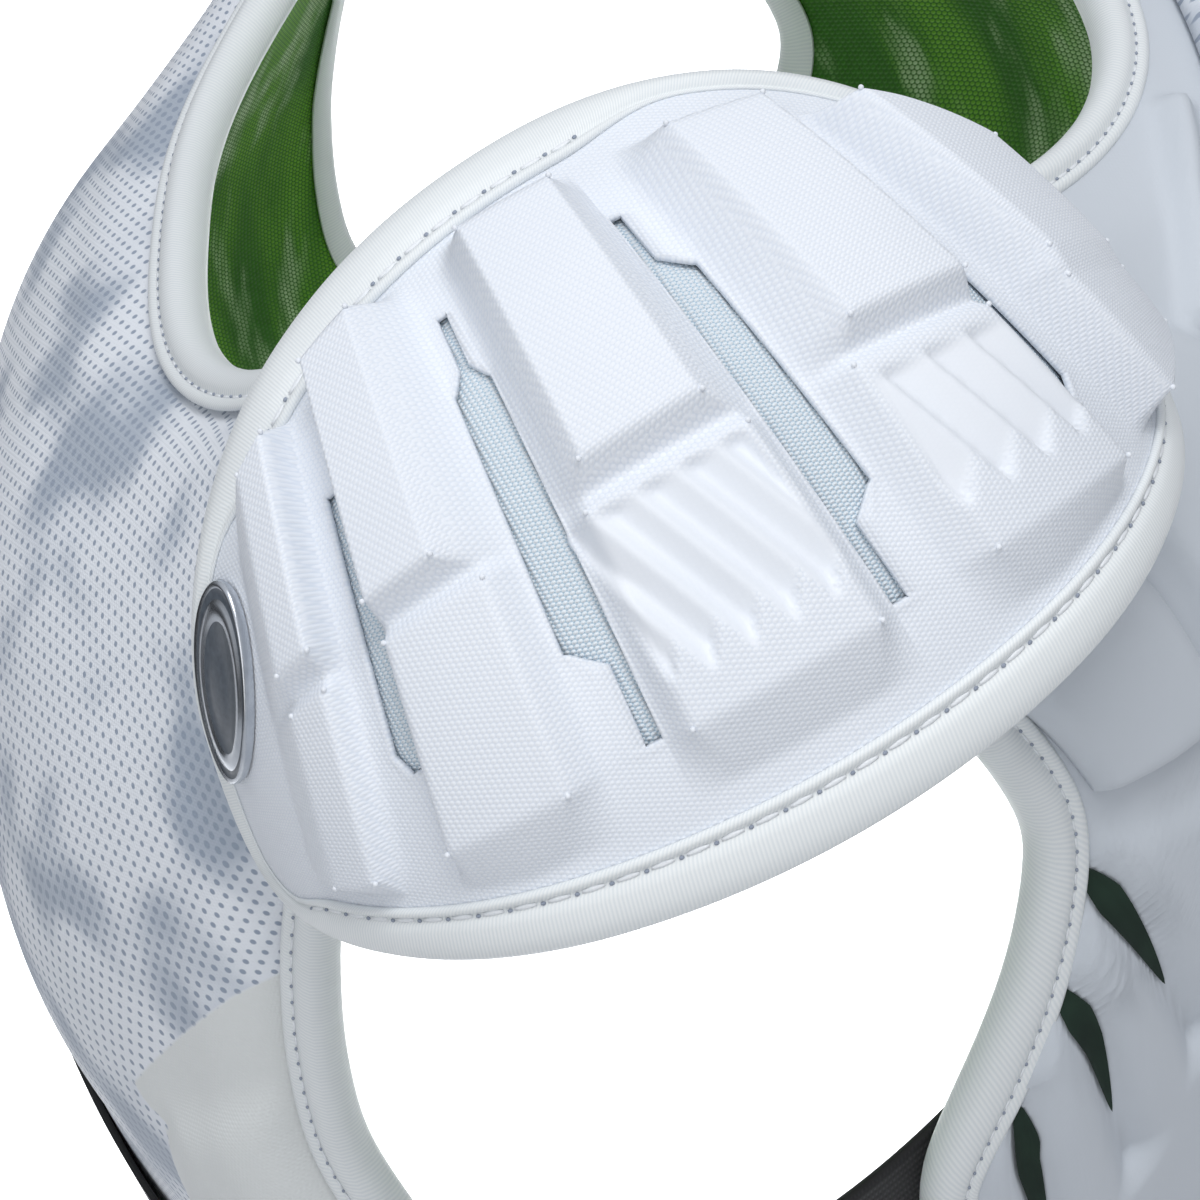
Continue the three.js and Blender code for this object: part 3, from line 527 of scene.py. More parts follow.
def cap_cage():
    """Fan and height at each cage corner, and the open cells of the slots."""
    tips = (PLATE_INSET - (CAP["back"] - CAP["tip"]), CAP["front"] - CAP["tip"] - PLATE_INSET)
    fans = []
    heights = []
    row_count = len(CAP_ROWS) + 2
    for row in range(row_count):
        arm, level, _ = CAP_ROWS[min(max(row - 1, 0), len(CAP_ROWS) - 1)]
        edge_row = row in (0, row_count - 1)
        line = [(fan, 0.0) for fan in WING_FANS]
        slot_columns = []
        for index, rib in enumerate(RIBS):
            crest = rib["low"] if level in ("low", "crease") else rib["high"]
            levels = {"plate": 0.0, "crease": rib["rise"]["low"] - CREASE_DEPTH, **rib["rise"]}
            rise = 0.0 if edge_row else levels[level]
            line += [(rib["base"][0], 0.0), (crest[0], rise), (crest[1], rise), (rib["base"][1], 0.0)]
            if index < len(SLOTS):
                slot = SLOTS[index]
                half = float(slot_half(slot, arm))
                centre = float(slot_centre(slot, arm))
                slot_columns.append(len(line))
                line += [(centre - half, 0.0), (centre + half, 0.0)]
        line.append((CAP["front"], 0.0))
        fans.append([min(max(fan, tips[0]), tips[1]) for fan, _ in line])
        heights.append([height for _, height in line])
    # The slots stand in the same columns of each row
    open_cells = set()
    for slot, column in zip(SLOTS, slot_columns):
        for row in range(1, len(CAP_ROWS)):
            if CAP_ROWS[row - 1][0] >= slot["top"] and CAP_ROWS[row][0] <= slot["bottom"]:
                open_cells.add((column, row))
    return np.array(fans), np.array(heights), open_cells


def flute_depth(girth, arm):
    """Depth of the slanted smooth flutes on two of the lower blocks, and where they are."""
    depth = np.zeros_like(girth)
    place = np.zeros_like(girth)
    for flute in FLUTES:
        across = girth - flute["slant"] * arm - flute["offset"]
        turn = across / flute["pitch"]
        share = turn - np.floor(turn)
        wave = np.where(share < flute["steep"], share / flute["steep"], (1 - share) / (1 - flute["steep"]))
        inside = soft_ramp(arm, flute["top"], flute["top"] + FLUTE_EDGE["top"])
        # Each flute is cut off at a slant, so that it ends in a point
        before_end = flute["bottom"] - FLUTE_CUT * share - arm
        past_low = girth - flute["low"] - FLUTE_LEAN["low"] * (arm - FLUTE_LEAN["low_from"])
        before_high = flute["high"] + FLUTE_LEAN["high"] * arm - girth
        for depth_in, edge in ((before_end, "end"), (past_low, "side"), (before_high, "side")):
            inside = inside * soft_ramp(depth_in, -FLUTE_EDGE[edge], FLUTE_EDGE[edge])
        depth += flute["depth"] * wave * inside
        place = np.maximum(place, inside)
    return depth, place


# Meshes


def formed_sheet(points, chart, keep=None, closed=False, attributes=None):
    """Sheet of rows by columns points in mm, with its chart in mm as UV; keep leaves cells out."""
    rows, columns = points.shape[:2]
    maker = bmesh.new()
    bmesh.ops.create_grid(maker, x_segments=columns - 1, y_segments=rows - 1, size=1)
    maker.verts.ensure_lookup_table()
    layers = {key: maker.verts.layers.float.new(key) for key in (attributes or {})}
    chart_layers = [maker.verts.layers.float.new(key) for key in ("chart_u", "chart_v")]
    flat_points = points.reshape(-1, 3) * MM
    flat_chart = chart.reshape(-1, 2)
    flat_extra = {key: value.reshape(-1) for key, value in (attributes or {}).items()}
    for index, vertex in enumerate(maker.verts):
        vertex.co = flat_points[index]
        vertex[chart_layers[0]] = flat_chart[index][0]
        vertex[chart_layers[1]] = flat_chart[index][1]
        for key, layer in layers.items():
            vertex[layer] = flat_extra[key][index]
    if keep is not None:
        maker.faces.ensure_lookup_table()
        left_out = [face for index, face in enumerate(maker.faces) if not keep.reshape(-1)[index]]
        bmesh.ops.delete(maker, geom=left_out, context="FACES")
    uv = maker.loops.layers.uv.new("UVMap")
    for face in maker.faces:
        for loop in face.loops:
            loop[uv].uv = (loop.vert[chart_layers[0]], loop.vert[chart_layers[1]])
    if closed:
        bmesh.ops.remove_doubles(maker, verts=maker.verts[:], dist=SAME_POINT)
    return maker


def mirror_across(maker):
    """Adds the other half of a sheet that meets the middle plane, and mirrors its chart."""
    chart_u = maker.verts.layers.float["chart_u"]
    chart_v = maker.verts.layers.float["chart_v"]
    whole = maker.verts[:] + maker.edges[:] + maker.faces[:]
    bmesh.ops.mirror(maker, geom=whole, merge_dist=SAME_AT_MIRROR, axis="X")
    bmesh.ops.remove_doubles(maker, verts=maker.verts[:], dist=SAME_AT_MIRROR)
    bmesh.ops.recalc_face_normals(maker, faces=maker.faces[:])
    uv = maker.loops.layers.uv["UVMap"]
    for face in maker.faces:
        side = -1 if face.calc_center_median().x < 0 else 1
        for loop in face.loops:
            loop[uv].uv = (side * loop.vert[chart_u], loop.vert[chart_v])


def outward(maker, towards):
    """Turns the faces of an open sheet so that most look along a function of the place."""
    total = 0.0
    for face in maker.faces:
        total += face.normal.dot(towards(face.calc_center_median())) * face.calc_area()
    if total < 0:
        bmesh.ops.reverse_faces(maker, faces=maker.faces[:])


def from_middle(place):
    """Direction to a place from a point inside the body."""
    return Vector((place.x, place.y, place.z - BODY_MIDDLE_HEIGHT))


def finished(name, maker, *materials, smooth=True):
    """Object of a mesh, with its materials and smooth faces."""
    maker.normal_update()
    mesh = bpy.data.meshes.new(name)
    maker.to_mesh(mesh)
    maker.free()
    for material in materials:
        mesh.materials.append(material)
    if smooth:
        mesh.shade_smooth()
    piece = bpy.data.objects.new(name, mesh)
    bpy.context.collection.objects.link(piece)
    return piece


def thickened(piece, thickness, offset=-1.0):
    """Gives a sheet a wall, on its inner side unless the offset differs."""
    wall = piece.modifiers.new("wall", "SOLIDIFY")
    wall.thickness = thickness * MM
    wall.offset = offset
    return piece


def thinned(piece, layer, least):
    """Scales the wall of a thickened piece by an attribute, down to the least share."""
    group = piece.vertex_groups.new(name=layer)
    for index, item in enumerate(piece.data.attributes[layer].data):
        group.add([index], item.value, "REPLACE")
    piece.modifiers["wall"].vertex_group = layer
    piece.modifiers["wall"].thickness_vertex_group = least


def other_side(piece, name):
    """Mirror image of a piece across the middle plane."""
    maker = bmesh.new()
    maker.from_mesh(piece.data)
    bmesh.ops.scale(maker, vec=(-1, 1, 1), verts=maker.verts[:])
    bmesh.ops.reverse_faces(maker, faces=maker.faces[:])
    twin = finished(name, maker, *piece.data.materials)
    for source in piece.modifiers:
        if source.type == "SOLIDIFY":
            thickened(twin, source.thickness / MM, source.offset)
            if source.vertex_group:
                thinned(twin, source.vertex_group, source.thickness_vertex_group)
    return twin


def placed(piece, node=None):
    """A piece that rides on the part; it may stand for a node, whose solid is then hidden."""
    if node is not None:
        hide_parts(node)
    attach(piece, "root")
    return piece


def placed_pair(piece, node=None):
    """Places a piece of one side and its mirror image; the names differ in the side alone."""
    here, there = ("right", "left") if "right" in piece.name else ("left", "right")
    placed(piece, node)
    twin = other_side(piece, piece.name.replace(here, there))
    placed(twin, node and node.replace(here, there))
    return (piece, here), (twin, there)


# Materials

# Sockets of a Mix node: its share, the numbers and the colours that it mixes
SHARE, NUMBER_A, NUMBER_B, COLOUR_A, COLOUR_B = 0, 2, 3, 6, 7
COLOURS = dict(output=2, data_type="RGBA")
SMOOTH = dict(interpolation_type="SMOOTHSTEP")
# A wave texture runs through 20 radians for each unit of its scaled chart
WAVE_PHASE = 20


def linear(hex_colour):
    """Linear colour of an sRGB hex value."""
    parts = [int(hex_colour[k:k + 2], 16) / 255 for k in (1, 3, 5)]
    return tuple(c / 12.92 if c <= 0.04045 else ((c + 0.055) / 1.055) ** 2.4 for c in parts) + (1.0,)


def add_node(tree, kind, inputs=None, output=0, **settings):
    """An output of a new node; an input is a value, a hex colour or another node's output."""
    made = tree.nodes.new("ShaderNode" + kind)
    for name, value in settings.items():
        setattr(made, name, value)
    for socket, value in (inputs or {}).items():
        if isinstance(value, bpy.types.NodeSocket):
            tree.links.new(value, made.inputs[socket])
        elif isinstance(value, str):
            made.inputs[socket].default_value = linear(value)
        else:
            made.inputs[socket].default_value = value
    return made.outputs[output] if len(made.outputs) else None


def blank_finish(name):
    """A material without nodes, and its tree."""
    material = bpy.data.materials.new(name)
    material.use_nodes = True
    material.node_tree.nodes.clear()
    return material, material.node_tree


def shaded(material, values, colour, bump=None):
    """The material with its shader's values, colour and bump: strength, depth in metres and height."""
    tree = material.node_tree
    inputs = {**values, "Base Color": colour}
    if bump is not None:
        inputs["Normal"] = add_node(tree, "Bump", dict(zip(("Strength", "Distance", "Height"), bump)))
    shader = add_node(tree, "BsdfPrincipled", inputs)
    add_node(tree, "OutputMaterial", {"Surface": shader})
    return material


def hex_lattice(tree, chart, pitch, stretch=1.0):
    """Smooth bumps on a staggered lattice, from -1.5 between them to 3 on top."""
    wave_number = 4 * math.pi / (math.sqrt(3) * pitch)
    total = None
    for angle in (0, math.pi / 3, 2 * math.pi / 3):
        direction = (wave_number * math.cos(angle), wave_number * math.sin(angle) / stretch, 0)
        along = add_node(tree, "VectorMath", {0: chart, 1: direction}, "Value", operation="DOT_PRODUCT")
        wave = add_node(tree, "Math", {0: along}, operation="COSINE")
        total = wave if total is None else add_node(tree, "Math", {0: total, 1: wave}, operation="ADD")
    return total


def moulded_foam():
    # Compression-moulded EVA faced with a fine knit: matt white; rib tops are pressed with rows of
    # long grains, the rest with round scales; the flutes are nearly smooth, and so are the body plates,
    # which are a little greyer, partly from their greyer knit and partly as painted shade
    material, tree = blank_finish("moulded_foam")
    chart = add_node(tree, "UVMap", uv_map="UVMap")
    turned = add_node(tree, "Mapping", {"Vector": chart, "Rotation": (0, 0, 0.5)})
    scales = hex_lattice(tree, chart, FOAM_SCALE_PITCH, stretch=0.85)
    grains = hex_lattice(tree, turned, FOAM_GRAIN_PITCH, stretch=0.6)
    crest, emboss, body = (
        add_node(tree, "Attribute", output="Fac", attribute_name=layer)
        for layer in ("crest", "emboss", "body")
    )
    pressed = add_node(tree, "Mix", {SHARE: crest, NUMBER_A: scales, NUMBER_B: grains})
    strength = add_node(tree, "Math", {0: emboss, 1: 0.32}, operation="MULTIPLY")
    cloud = add_node(tree, "TexNoise", {"Vector": chart, "Scale": 0.03, "Detail": 3.0})
    base = add_node(tree, "Mix", {SHARE: cloud, COLOUR_A: "#E6EBF2", COLOUR_B: "#F1F4F9"}, **COLOURS)
    # Painted shade: the low parts between the pressed grains and scales are mixed towards a darker blue-grey
    tops = add_node(tree, "MapRange", {"Value": pressed, "From Min": -1.4, "From Max": 0.0}, **SMOOTH)
    pit_shade = add_node(tree, "Math", {0: 1.0, 1: tops}, operation="SUBTRACT")
    pit_shade = add_node(tree, "Math", {0: pit_shade, 1: emboss}, operation="MULTIPLY")
    pit_shaded = add_node(tree, "Mix", {SHARE: pit_shade, COLOUR_A: base, COLOUR_B: "#E0E6EF"}, **COLOURS)
    # The body plates are mixed towards a greyer tone: partly their greyer knit, partly painted shade
    colour = add_node(tree, "Mix", {SHARE: body, COLOUR_A: pit_shaded, COLOUR_B: "#CFD5DC"}, **COLOURS)
    values = {"Roughness": 0.6, "Sheen Weight": 0.1, "IOR": 1.45}
    return shaded(material, values, colour, (strength, 0.00008, pressed))


def knit_mesh():
    # Warp-knit spacer mesh of polyester: pale blue-grey, staggered rows of small dark holes
    material, tree = blank_finish("knit_mesh")
    chart = add_node(tree, "UVMap", uv_map="UVMap")
    threads = hex_lattice(tree, chart, MESH_PITCH, stretch=0.75)
    share = add_node(tree, "MapRange", {"Value": threads, "From Min": -1.45, "From Max": -0.2}, **SMOOTH)
    colour = add_node(tree, "Mix", {SHARE: share, COLOUR_A: "#A9C0D0", COLOUR_B: "#EDF4F9"}, **COLOURS)
    values = {"Roughness": 0.8, "Sheen Weight": 0.2, "IOR": 1.5}
    return shaded(material, values, colour, (0.7, 0.00012, threads))


def binding_tape():
    # Woven polyester tape folded over the edge: white with a little gloss, fine slanted ribs across it
    material, tree = blank_finish("binding_tape")
    chart = add_node(tree, "UVMap", uv_map="UVMap")
    turned = add_node(tree, "Mapping", {"Vector": chart, "Rotation": (0, 0, 0.35)})
    wave_scale = 2 * math.pi / (WAVE_PHASE * TAPE_RIB_PITCH)
    ribs = add_node(tree, "TexWave", {"Vector": turned, "Scale": wave_scale, "Distortion": 0.5}, "Fac")
    colour = add_node(tree, "Mix", {SHARE: ribs, COLOUR_A: "#E2E7E9", COLOUR_B: "#EFF2F2"}, **COLOURS)
    values = {"Roughness": 0.5, "Sheen Weight": 0.15, "IOR": 1.5}
    return shaded(material, values, colour, (0.4, 0.00006, ribs))


def dotted_fabric():
    # Printed polyester face fabric: pale grey with rows of darker dots that swell into soft grey patches
    material, tree = blank_finish("dotted_fabric")
    chart = add_node(tree, "UVMap", uv_map="UVMap")
    dots = hex_lattice(tree, chart, DOT_PITCH, stretch=0.9)
    patch = add_node(tree, "TexNoise", {"Vector": chart, "Scale": 0.026, "Detail": 1.5, "Roughness": 0.45})
    patch = add_node(tree, "MapRange", {"Value": patch, "From Min": 0.46, "From Max": 0.62}, **SMOOTH)
    printed = add_node(tree, "Attribute", output="Fac", attribute_name="printed")
    printed = add_node(tree, "MapRange", {"Value": printed, "From Min": -0.4, "From Max": 0.4})
    patch = add_node(tree, "Math", {0: patch, 1: printed}, operation="MULTIPLY")
    swell = add_node(tree, "Math", {0: patch, 1: 1.1}, operation="MULTIPLY")
    swollen = add_node(tree, "Math", {0: dots, 1: swell}, operation="ADD")
    dotted = add_node(tree, "MapRange", {"Value": swollen, "From Min": 0.9, "From Max": 2.3}, **SMOOTH)
    dotted = add_node(tree, "Math", {0: dotted, 1: printed}, operation="MULTIPLY")
    ground = add_node(tree, "Mix", {SHARE: patch, COLOUR_A: "#EEF2F8", COLOUR_B: "#B3BDCA"}, **COLOURS)
    ground = add_node(tree, "Mix", {SHARE: printed, COLOUR_A: "#E4E7E6", COLOUR_B: ground}, **COLOURS)
    colour = add_node(tree, "Mix", {SHARE: dotted, COLOUR_A: ground, COLOUR_B: "#98A4B6"}, **COLOURS)
    weave = hex_lattice(tree, chart, FABRIC_WEAVE_PITCH)
    values = {"Roughness": 0.75, "Sheen Weight": 0.2, "IOR": 1.5}
    return shaded(material, values, colour, (0.35, 0.00005, weave))


def lining_knit():
    # Brushed knit lining dyed in greens, with pale streaks along one slant
    material, tree = blank_finish("lining_knit")
    chart = add_node(tree, "UVMap", uv_map="UVMap")
    slant = {"Vector": chart, "Rotation": (0, 0, 0.9), "Scale": (1.0, 0.3, 1.0)}
    turned = add_node(tree, "Mapping", slant)
    streak = add_node(tree, "TexNoise", {"Vector": turned, "Scale": 0.05, "Detail": 3.0, "Roughness": 0.55})
    streak = add_node(tree, "MapRange", {"Value": streak, "From Min": 0.5, "From Max": 0.68}, **SMOOTH)
    cloud = add_node(tree, "TexNoise", {"Vector": turned, "Scale": 0.035, "Detail": 2.0})
    cloud = add_node(tree, "MapRange", {"Value": cloud, "From Min": 0.38, "From Max": 0.62}, **SMOOTH)
    greens = add_node(tree, "Mix", {SHARE: cloud, COLOUR_A: "#2F6E04", COLOUR_B: "#66A422"}, **COLOURS)
    streaked = add_node(tree, "Mix", {SHARE: streak, COLOUR_A: greens, COLOUR_B: "#B4CF9E"}, **COLOURS)
    knit = hex_lattice(tree, chart, LINING_PITCH, stretch=0.8)
    loops = add_node(tree, "MapRange", {"Value": knit, "From Min": -1.5, "From Max": 0.5})
    colour = add_node(tree, "Mix", {SHARE: loops, COLOUR_A: "#2C6210", COLOUR_B: streaked}, **COLOURS)
    values = {"Roughness": 0.8, "Sheen Weight": 0.05, "IOR": 1.45}
    return shaded(material, values, colour, (0.5, 0.00015, knit))


def elastic_webbing():
    # Woven elastic: black, with ribs along its length and a fine weave across
    material, tree = blank_finish("elastic_webbing")
    chart = add_node(tree, "UVMap", uv_map="UVMap")
    rib_scale = 2 * math.pi / (WAVE_PHASE * WEBBING_RIB_PITCH)
    ribs, weave = (
        add_node(tree, "TexWave", {"Vector": chart, "Scale": scale}, "Fac", bands_direction=direction)
        for scale, direction in ((rib_scale, "Y"), (rib_scale * 2, "X"))
    )
    both = add_node(tree, "Math", {0: ribs, 1: weave}, operation="MULTIPLY")
    colour = add_node(tree, "Mix", {SHARE: both, COLOUR_A: "#070709", COLOUR_B: "#1A1A1D"}, **COLOURS)
    values = {"Roughness": 0.7, "Sheen Weight": 0.2, "IOR": 1.5}
    return shaded(material, values, colour, (0.6, 0.0002, both))


def clouded(name, scale, dark, light, values, detail=2.0):
    """A plain finish whose colour clouds a little, at a scale for each metre."""
    material, tree = blank_finish(name)
    place = add_node(tree, "TexCoord", output="Object")
    cloud = add_node(tree, "TexNoise", {"Vector": place, "Scale": scale, "Detail": detail})
    colour = add_node(tree, "Mix", {SHARE: cloud, COLOUR_A: dark, COLOUR_B: light}, **COLOURS)
    return shaded(material, values, colour)


FOAM = moulded_foam()
MESH = knit_mesh()
TAPE = binding_tape()
DOTTED = dotted_fabric()
LINING = lining_knit()
ELASTIC = elastic_webbing()
# Polyester sewing thread: white with a little gloss and an uneven twist
THREAD_VALUES = {"Roughness": 0.45, "Sheen Weight": 0.2, "IOR": 1.5}
THREAD = clouded("sewing_thread", 2500.0, "#DDE2E7", "#F4F6F8", THREAD_VALUES, detail=1.0)
# Shadow in the small holes that the needle leaves between stitches
HOLE = clouded("needle_hole", 900.0, "#8790A0", "#A2AAB8", {"Roughness": 0.9, "IOR": 1.4})
# Deep shade in the open slits of the foam, with a little of the green lining behind
SLIT_SHADE = clouded("slit_shade", 60.0, "#0B1114", "#2F4638", {"Roughness": 0.9, "IOR": 1.4})
# Moulded TPU badge: dark grey with a faint grain
BADGE_FACE = clouded("badge_face", 900.0, "#41474F", "#626A73", {"Roughness": 0.35, "IOR": 1.5})
# Metallised rim of the badge: bright silver, slightly uneven
BADGE_RIM = clouded("badge_rim", 400.0, "#B4BAC2", "#E3E6EA", {"Roughness": 0.25, "Metallic": 1.0})
# Seamless studio paper: plain white, matt
PAPER = clouded("floor_paper", 0.5, "#FBFBFC", "#FFFFFF", {"Roughness": 0.95, "IOR": 1.3})


# Shoulder caps


def fine_lines(places):
    """Cell and share of each fine line that is put between places of the cap pattern."""
    counts = [max(2, round((after - before) / CAP_PITCH)) for before, after in zip(places[:-1], places[1:])]
    lines = [(cell, k / count) for cell, count in enumerate(counts) for k in range(count)]
    return lines + [(len(counts) - 1, 1.0)]


def refined_cage():
    """Cap pattern at a fine pitch: fan, arm, height and the cells that stay closed."""
    fans, heights, open_cells = cap_cage()
    row_count = len(fans)
    sample = np.linspace(-ROW_SAMPLE["half"], ROW_SAMPLE["half"], ROW_SAMPLE["count"])
    columns = fine_lines(fans[row_count // 2])
    rows = fine_lines([float(np.mean(cap_row_arm(sample, row))) for row in range(row_count)])
    fan = np.zeros((len(rows), len(columns)))
    arm = np.zeros_like(fan)
    height = np.zeros_like(fan)
    cell = np.array([column for column, _ in columns])
    across = np.array([share for _, share in columns])
    for line, (row, share) in enumerate(rows):
        guide = mix(fans[row], fans[row + 1], share)
        rise = mix(heights[row], heights[row + 1], share)
        fan[line] = mix(guide[cell], guide[cell + 1], across)
        height[line] = mix(rise[cell], rise[cell + 1], across)
        arm[line] = mix(cap_row_arm(fan[line], row), cap_row_arm(fan[line], row + 1), share)
    keep = np.array([[(column, row) not in open_cells for column, _ in columns[:-1]] for row, _ in rows[:-1]])
    return fan, arm, height, keep


def slot_distance(slot, fan, arm):
    """Distance from a slot's opening, 0 inside it."""
    beside = np.abs(fan - slot_centre(slot, arm)) - slot_half(slot, arm)
    beyond = np.maximum(slot["top"] - arm, arm - slot["bottom"])
    return np.maximum(np.maximum(beside, beyond), 0)


def near_slots(fan, arm, width):
    """For each slot, how near it a place is: 1 in the slot, fading over a width."""
    return [np.exp(-((slot_distance(slot, fan, arm) / width) ** 2)) for slot in SLOTS]


def make_cap():
    fan, arm, height, keep = refined_cage()
    girth = fan_girth(fan, arm)
    height = smoothed(height, CAP_ROUNDING)
    depth, fluted = flute_depth(girth, arm)
    lip = SLOT_LIP["height"] * np.max(near_slots(fan, arm, SLOT_LIP["width"]), 0)
    height = height - depth + lip
    # The wall is thin beside the slots, and on the ribs, where its inner face would come through
    wall = soft_ramp(np.min([slot_distance(slot, fan, arm) for slot in SLOTS], 0), 0, SLOT_WALL["full_at"])
    layers = dict(
        emboss=1 - FLUTE_SMOOTHNESS * fluted,
        crest=soft_ramp(height, CREST["height"] - CREST["softness"], CREST["height"] + CREST["softness"]),
        wall=wall * (1 - soft_ramp(height, *RIB_WALL)),
    )
    maker = formed_sheet(cap_form(girth, arm, height), np.stack([girth, arm], -1), keep, attributes=layers)
    outward(maker, lambda place: Vector(CAP_OUT))
    cap = thickened(finished("shoulder_cap_right_skin", maker, FOAM), PLATE_THICKNESS)
    thinned(cap, "wall", SLOT_WALL["share"])
    placed_pair(cap, "shoulder_cap_right")


def make_cap_mesh():
    across = np.linspace(*CAP_MESH["fans"], CAP_MESH["columns"])
    fan, share = np.meshgrid(across, np.linspace(0, 1, CAP_MESH["rows"]))
    arm = mix(cap_inner(fan) + CAP_MESH["margin"], cap_outer(fan) - CAP_MESH["margin"], share)
    girth = fan_girth(fan, arm)
    bulge = sum(near_slots(fan, arm, CAP_MESH["spread"]))
    lift = CAP_MESH["lift"] + CAP_MESH["bulge"] * smoothed(bulge, CAP_MESH["rounding"])
    maker = formed_sheet(cap_form(girth, arm, lift), np.stack([girth, arm], -1))
    outward(maker, lambda place: Vector(CAP_OUT))
    right = finished("cap_mesh_right_sheet", maker, MESH)
    thickened(right, CAP_MESH["wall"])
    for piece, side in placed_pair(right, "cap_mesh_right"):
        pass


def path_marks(path):
    """Distance along a path at each of its points."""
    return np.concatenate([[0], np.cumsum(np.linalg.norm(np.diff(path, axis=0), axis=1))])


def on_path(path, marks, places):
    """Points of a path at distances along it."""
    return np.stack([np.interp(places, marks, path[:, k]) for k in range(path.shape[1])], -1)


def resampled(path, step, closed=True):
    """Points of a path at an even spacing."""
    whole = np.vstack([path, path[:1]]) if closed else path
    marks = path_marks(whole)
    places = np.linspace(0, marks[-1], int(marks[-1] / step), endpoint=not closed)
    return on_path(whole, marks, places)


def along_curve(points, pitch):
    """Even places on a line of points, with the course there."""
    marks = path_marks(points)
    places = np.arange(pitch / 2, marks[-1], pitch)
    step = STITCH["course_step"]
    course = on_path(points, marks, places + step) - on_path(points, marks, places - step)
    return on_path(points, marks, places), course / np.linalg.norm(course, axis=1, keepdims=True)


def rounded_path(path, passes):
    """A closed path with its corners rounded."""
    for _ in range(passes):
        path = (np.roll(path, 1, 0) + 2 * path + np.roll(path, -1, 0)) / 4
    return path


def cap_edge():
    """Edge of the cap as girth, arm and fan, once round at an even spacing."""
    seat = CAP_TAPE["seat"]
    tips = (-(CAP["back"] - CAP["tip"]) + seat, CAP["front"] - CAP["tip"] - seat)
    across = np.linspace(tips[0], tips[1], CAP_TAPE["across"])
    down = np.linspace(0, 1, CAP_TAPE["down"])
    upper = np.stack([across, cap_inner(across) + seat], -1)
    lower = np.stack([across[::-1], cap_outer(across[::-1]) - seat], -1)
    front = np.stack([np.full_like(down, tips[1]), mix(upper[-1][1], lower[0][1], down)], -1)[1:-1]
    back = np.stack([np.full_like(down, tips[0]), mix(lower[-1][1], upper[0][1], down)], -1)[1:-1]
    path = np.vstack([upper, front, lower, back])
    path = np.column_stack([fan_girth(path[:, 0], path[:, 1]), path[:, 1], path[:, 0]])
    return rounded_path(resampled(path, CAP_TAPE["step"]), CAP_TAPE["rounding"])


def cap_tape_reach(edge):
    """How far the tape reaches into the cap at each point of its edge."""
    on_back = soft_ramp(edge[:, 2], *TAPE_NARROW["back"])
    on_front = soft_ramp(edge[:, 2], *TAPE_NARROW["front"])
    on_front = np.where(edge[:, 1] < TAPE_NARROW["front_above"], on_front, 0)
    reach = CAP_TAPE["reach"] * mix(1.0, TAPE_NARROW["share"], np.maximum(on_back, on_front))
    return rounded_path(reach[:, None], TAPE_NARROW["rounding"])[:, 0]


def edge_inward(edge, closed=True):
    """Unit direction into the piece at each point of an edge that runs with the piece on its left."""
    before = np.roll(edge[:, :2], 1, 0)
    after = np.roll(edge[:, :2], -1, 0)
    if not closed:
        before[0] = edge[0, :2]
        after[-1] = edge[-1, :2]
    course = after - before
    course /= np.linalg.norm(course, axis=1, keepdims=True)
    return np.stack([-course[:, 1], course[:, 0]], -1)


def ring_chart(points, step, round_step):
    """Chart of rows of points: the way along each row, and the way from row to row."""
    along = np.arange(points.shape[1]) * step
    around = np.arange(points.shape[0]) * round_step
    return np.stack(np.broadcast_arrays(along[None, :], around[:, None]), -1)


def stitches(name, spots, courses, normals, seam):
    """Row of thread stitches with a dark lump of painted shade for the needle hole between each two, as one
    mesh of two finishes.
    """
    half = seam["length"] / 2
    thread = (half, seam["radius"], seam["radius"] * STITCH["flatness"])
    maker = bmesh.new()
    for spot, course, normal in zip(spots, courses, normals):
        side = np.cross(normal, course)
        hole = spot + course * (half + NEEDLE_HOLE["beyond"]) + side * NEEDLE_HOLE["aside"]
        for finish, (middle, sizes) in enumerate(((spot, thread), (hole, NEEDLE_HOLE["sizes"]))):
            made = bmesh.ops.create_uvsphere(
                maker, u_segments=STITCH["segments"], v_segments=STITCH["rings"], radius=1.0,
            )["verts"]
            turn = Matrix((course * sizes[0], side * sizes[1], normal * sizes[2])).transposed().to_4x4()
            turn.translation = middle
            bmesh.ops.transform(maker, matrix=Matrix.Scale(MM, 4) @ turn, verts=made)
            for face in {face for vertex in made for face in vertex.link_faces}:
                face.material_index = finish
    return finished(name, maker, THREAD, HOLE)


def cap_normal(point):
    """Outward direction of the cap near a point."""
    away = point - (CAP_CENTRE - CAP_OUT * ARM_RADIUS)
    along = float(np.dot(away, CAP_ACROSS))
    radial = away - CAP_ACROSS * along
    radial /= np.linalg.norm(radial)
    lean = np.clip(along / CAP_LEAN["reach"], -CAP_LEAN["most"], CAP_LEAN["most"])
    normal = radial * math.sqrt(1 - lean * lean) + CAP_ACROSS * lean
    return normal / np.linalg.norm(normal)


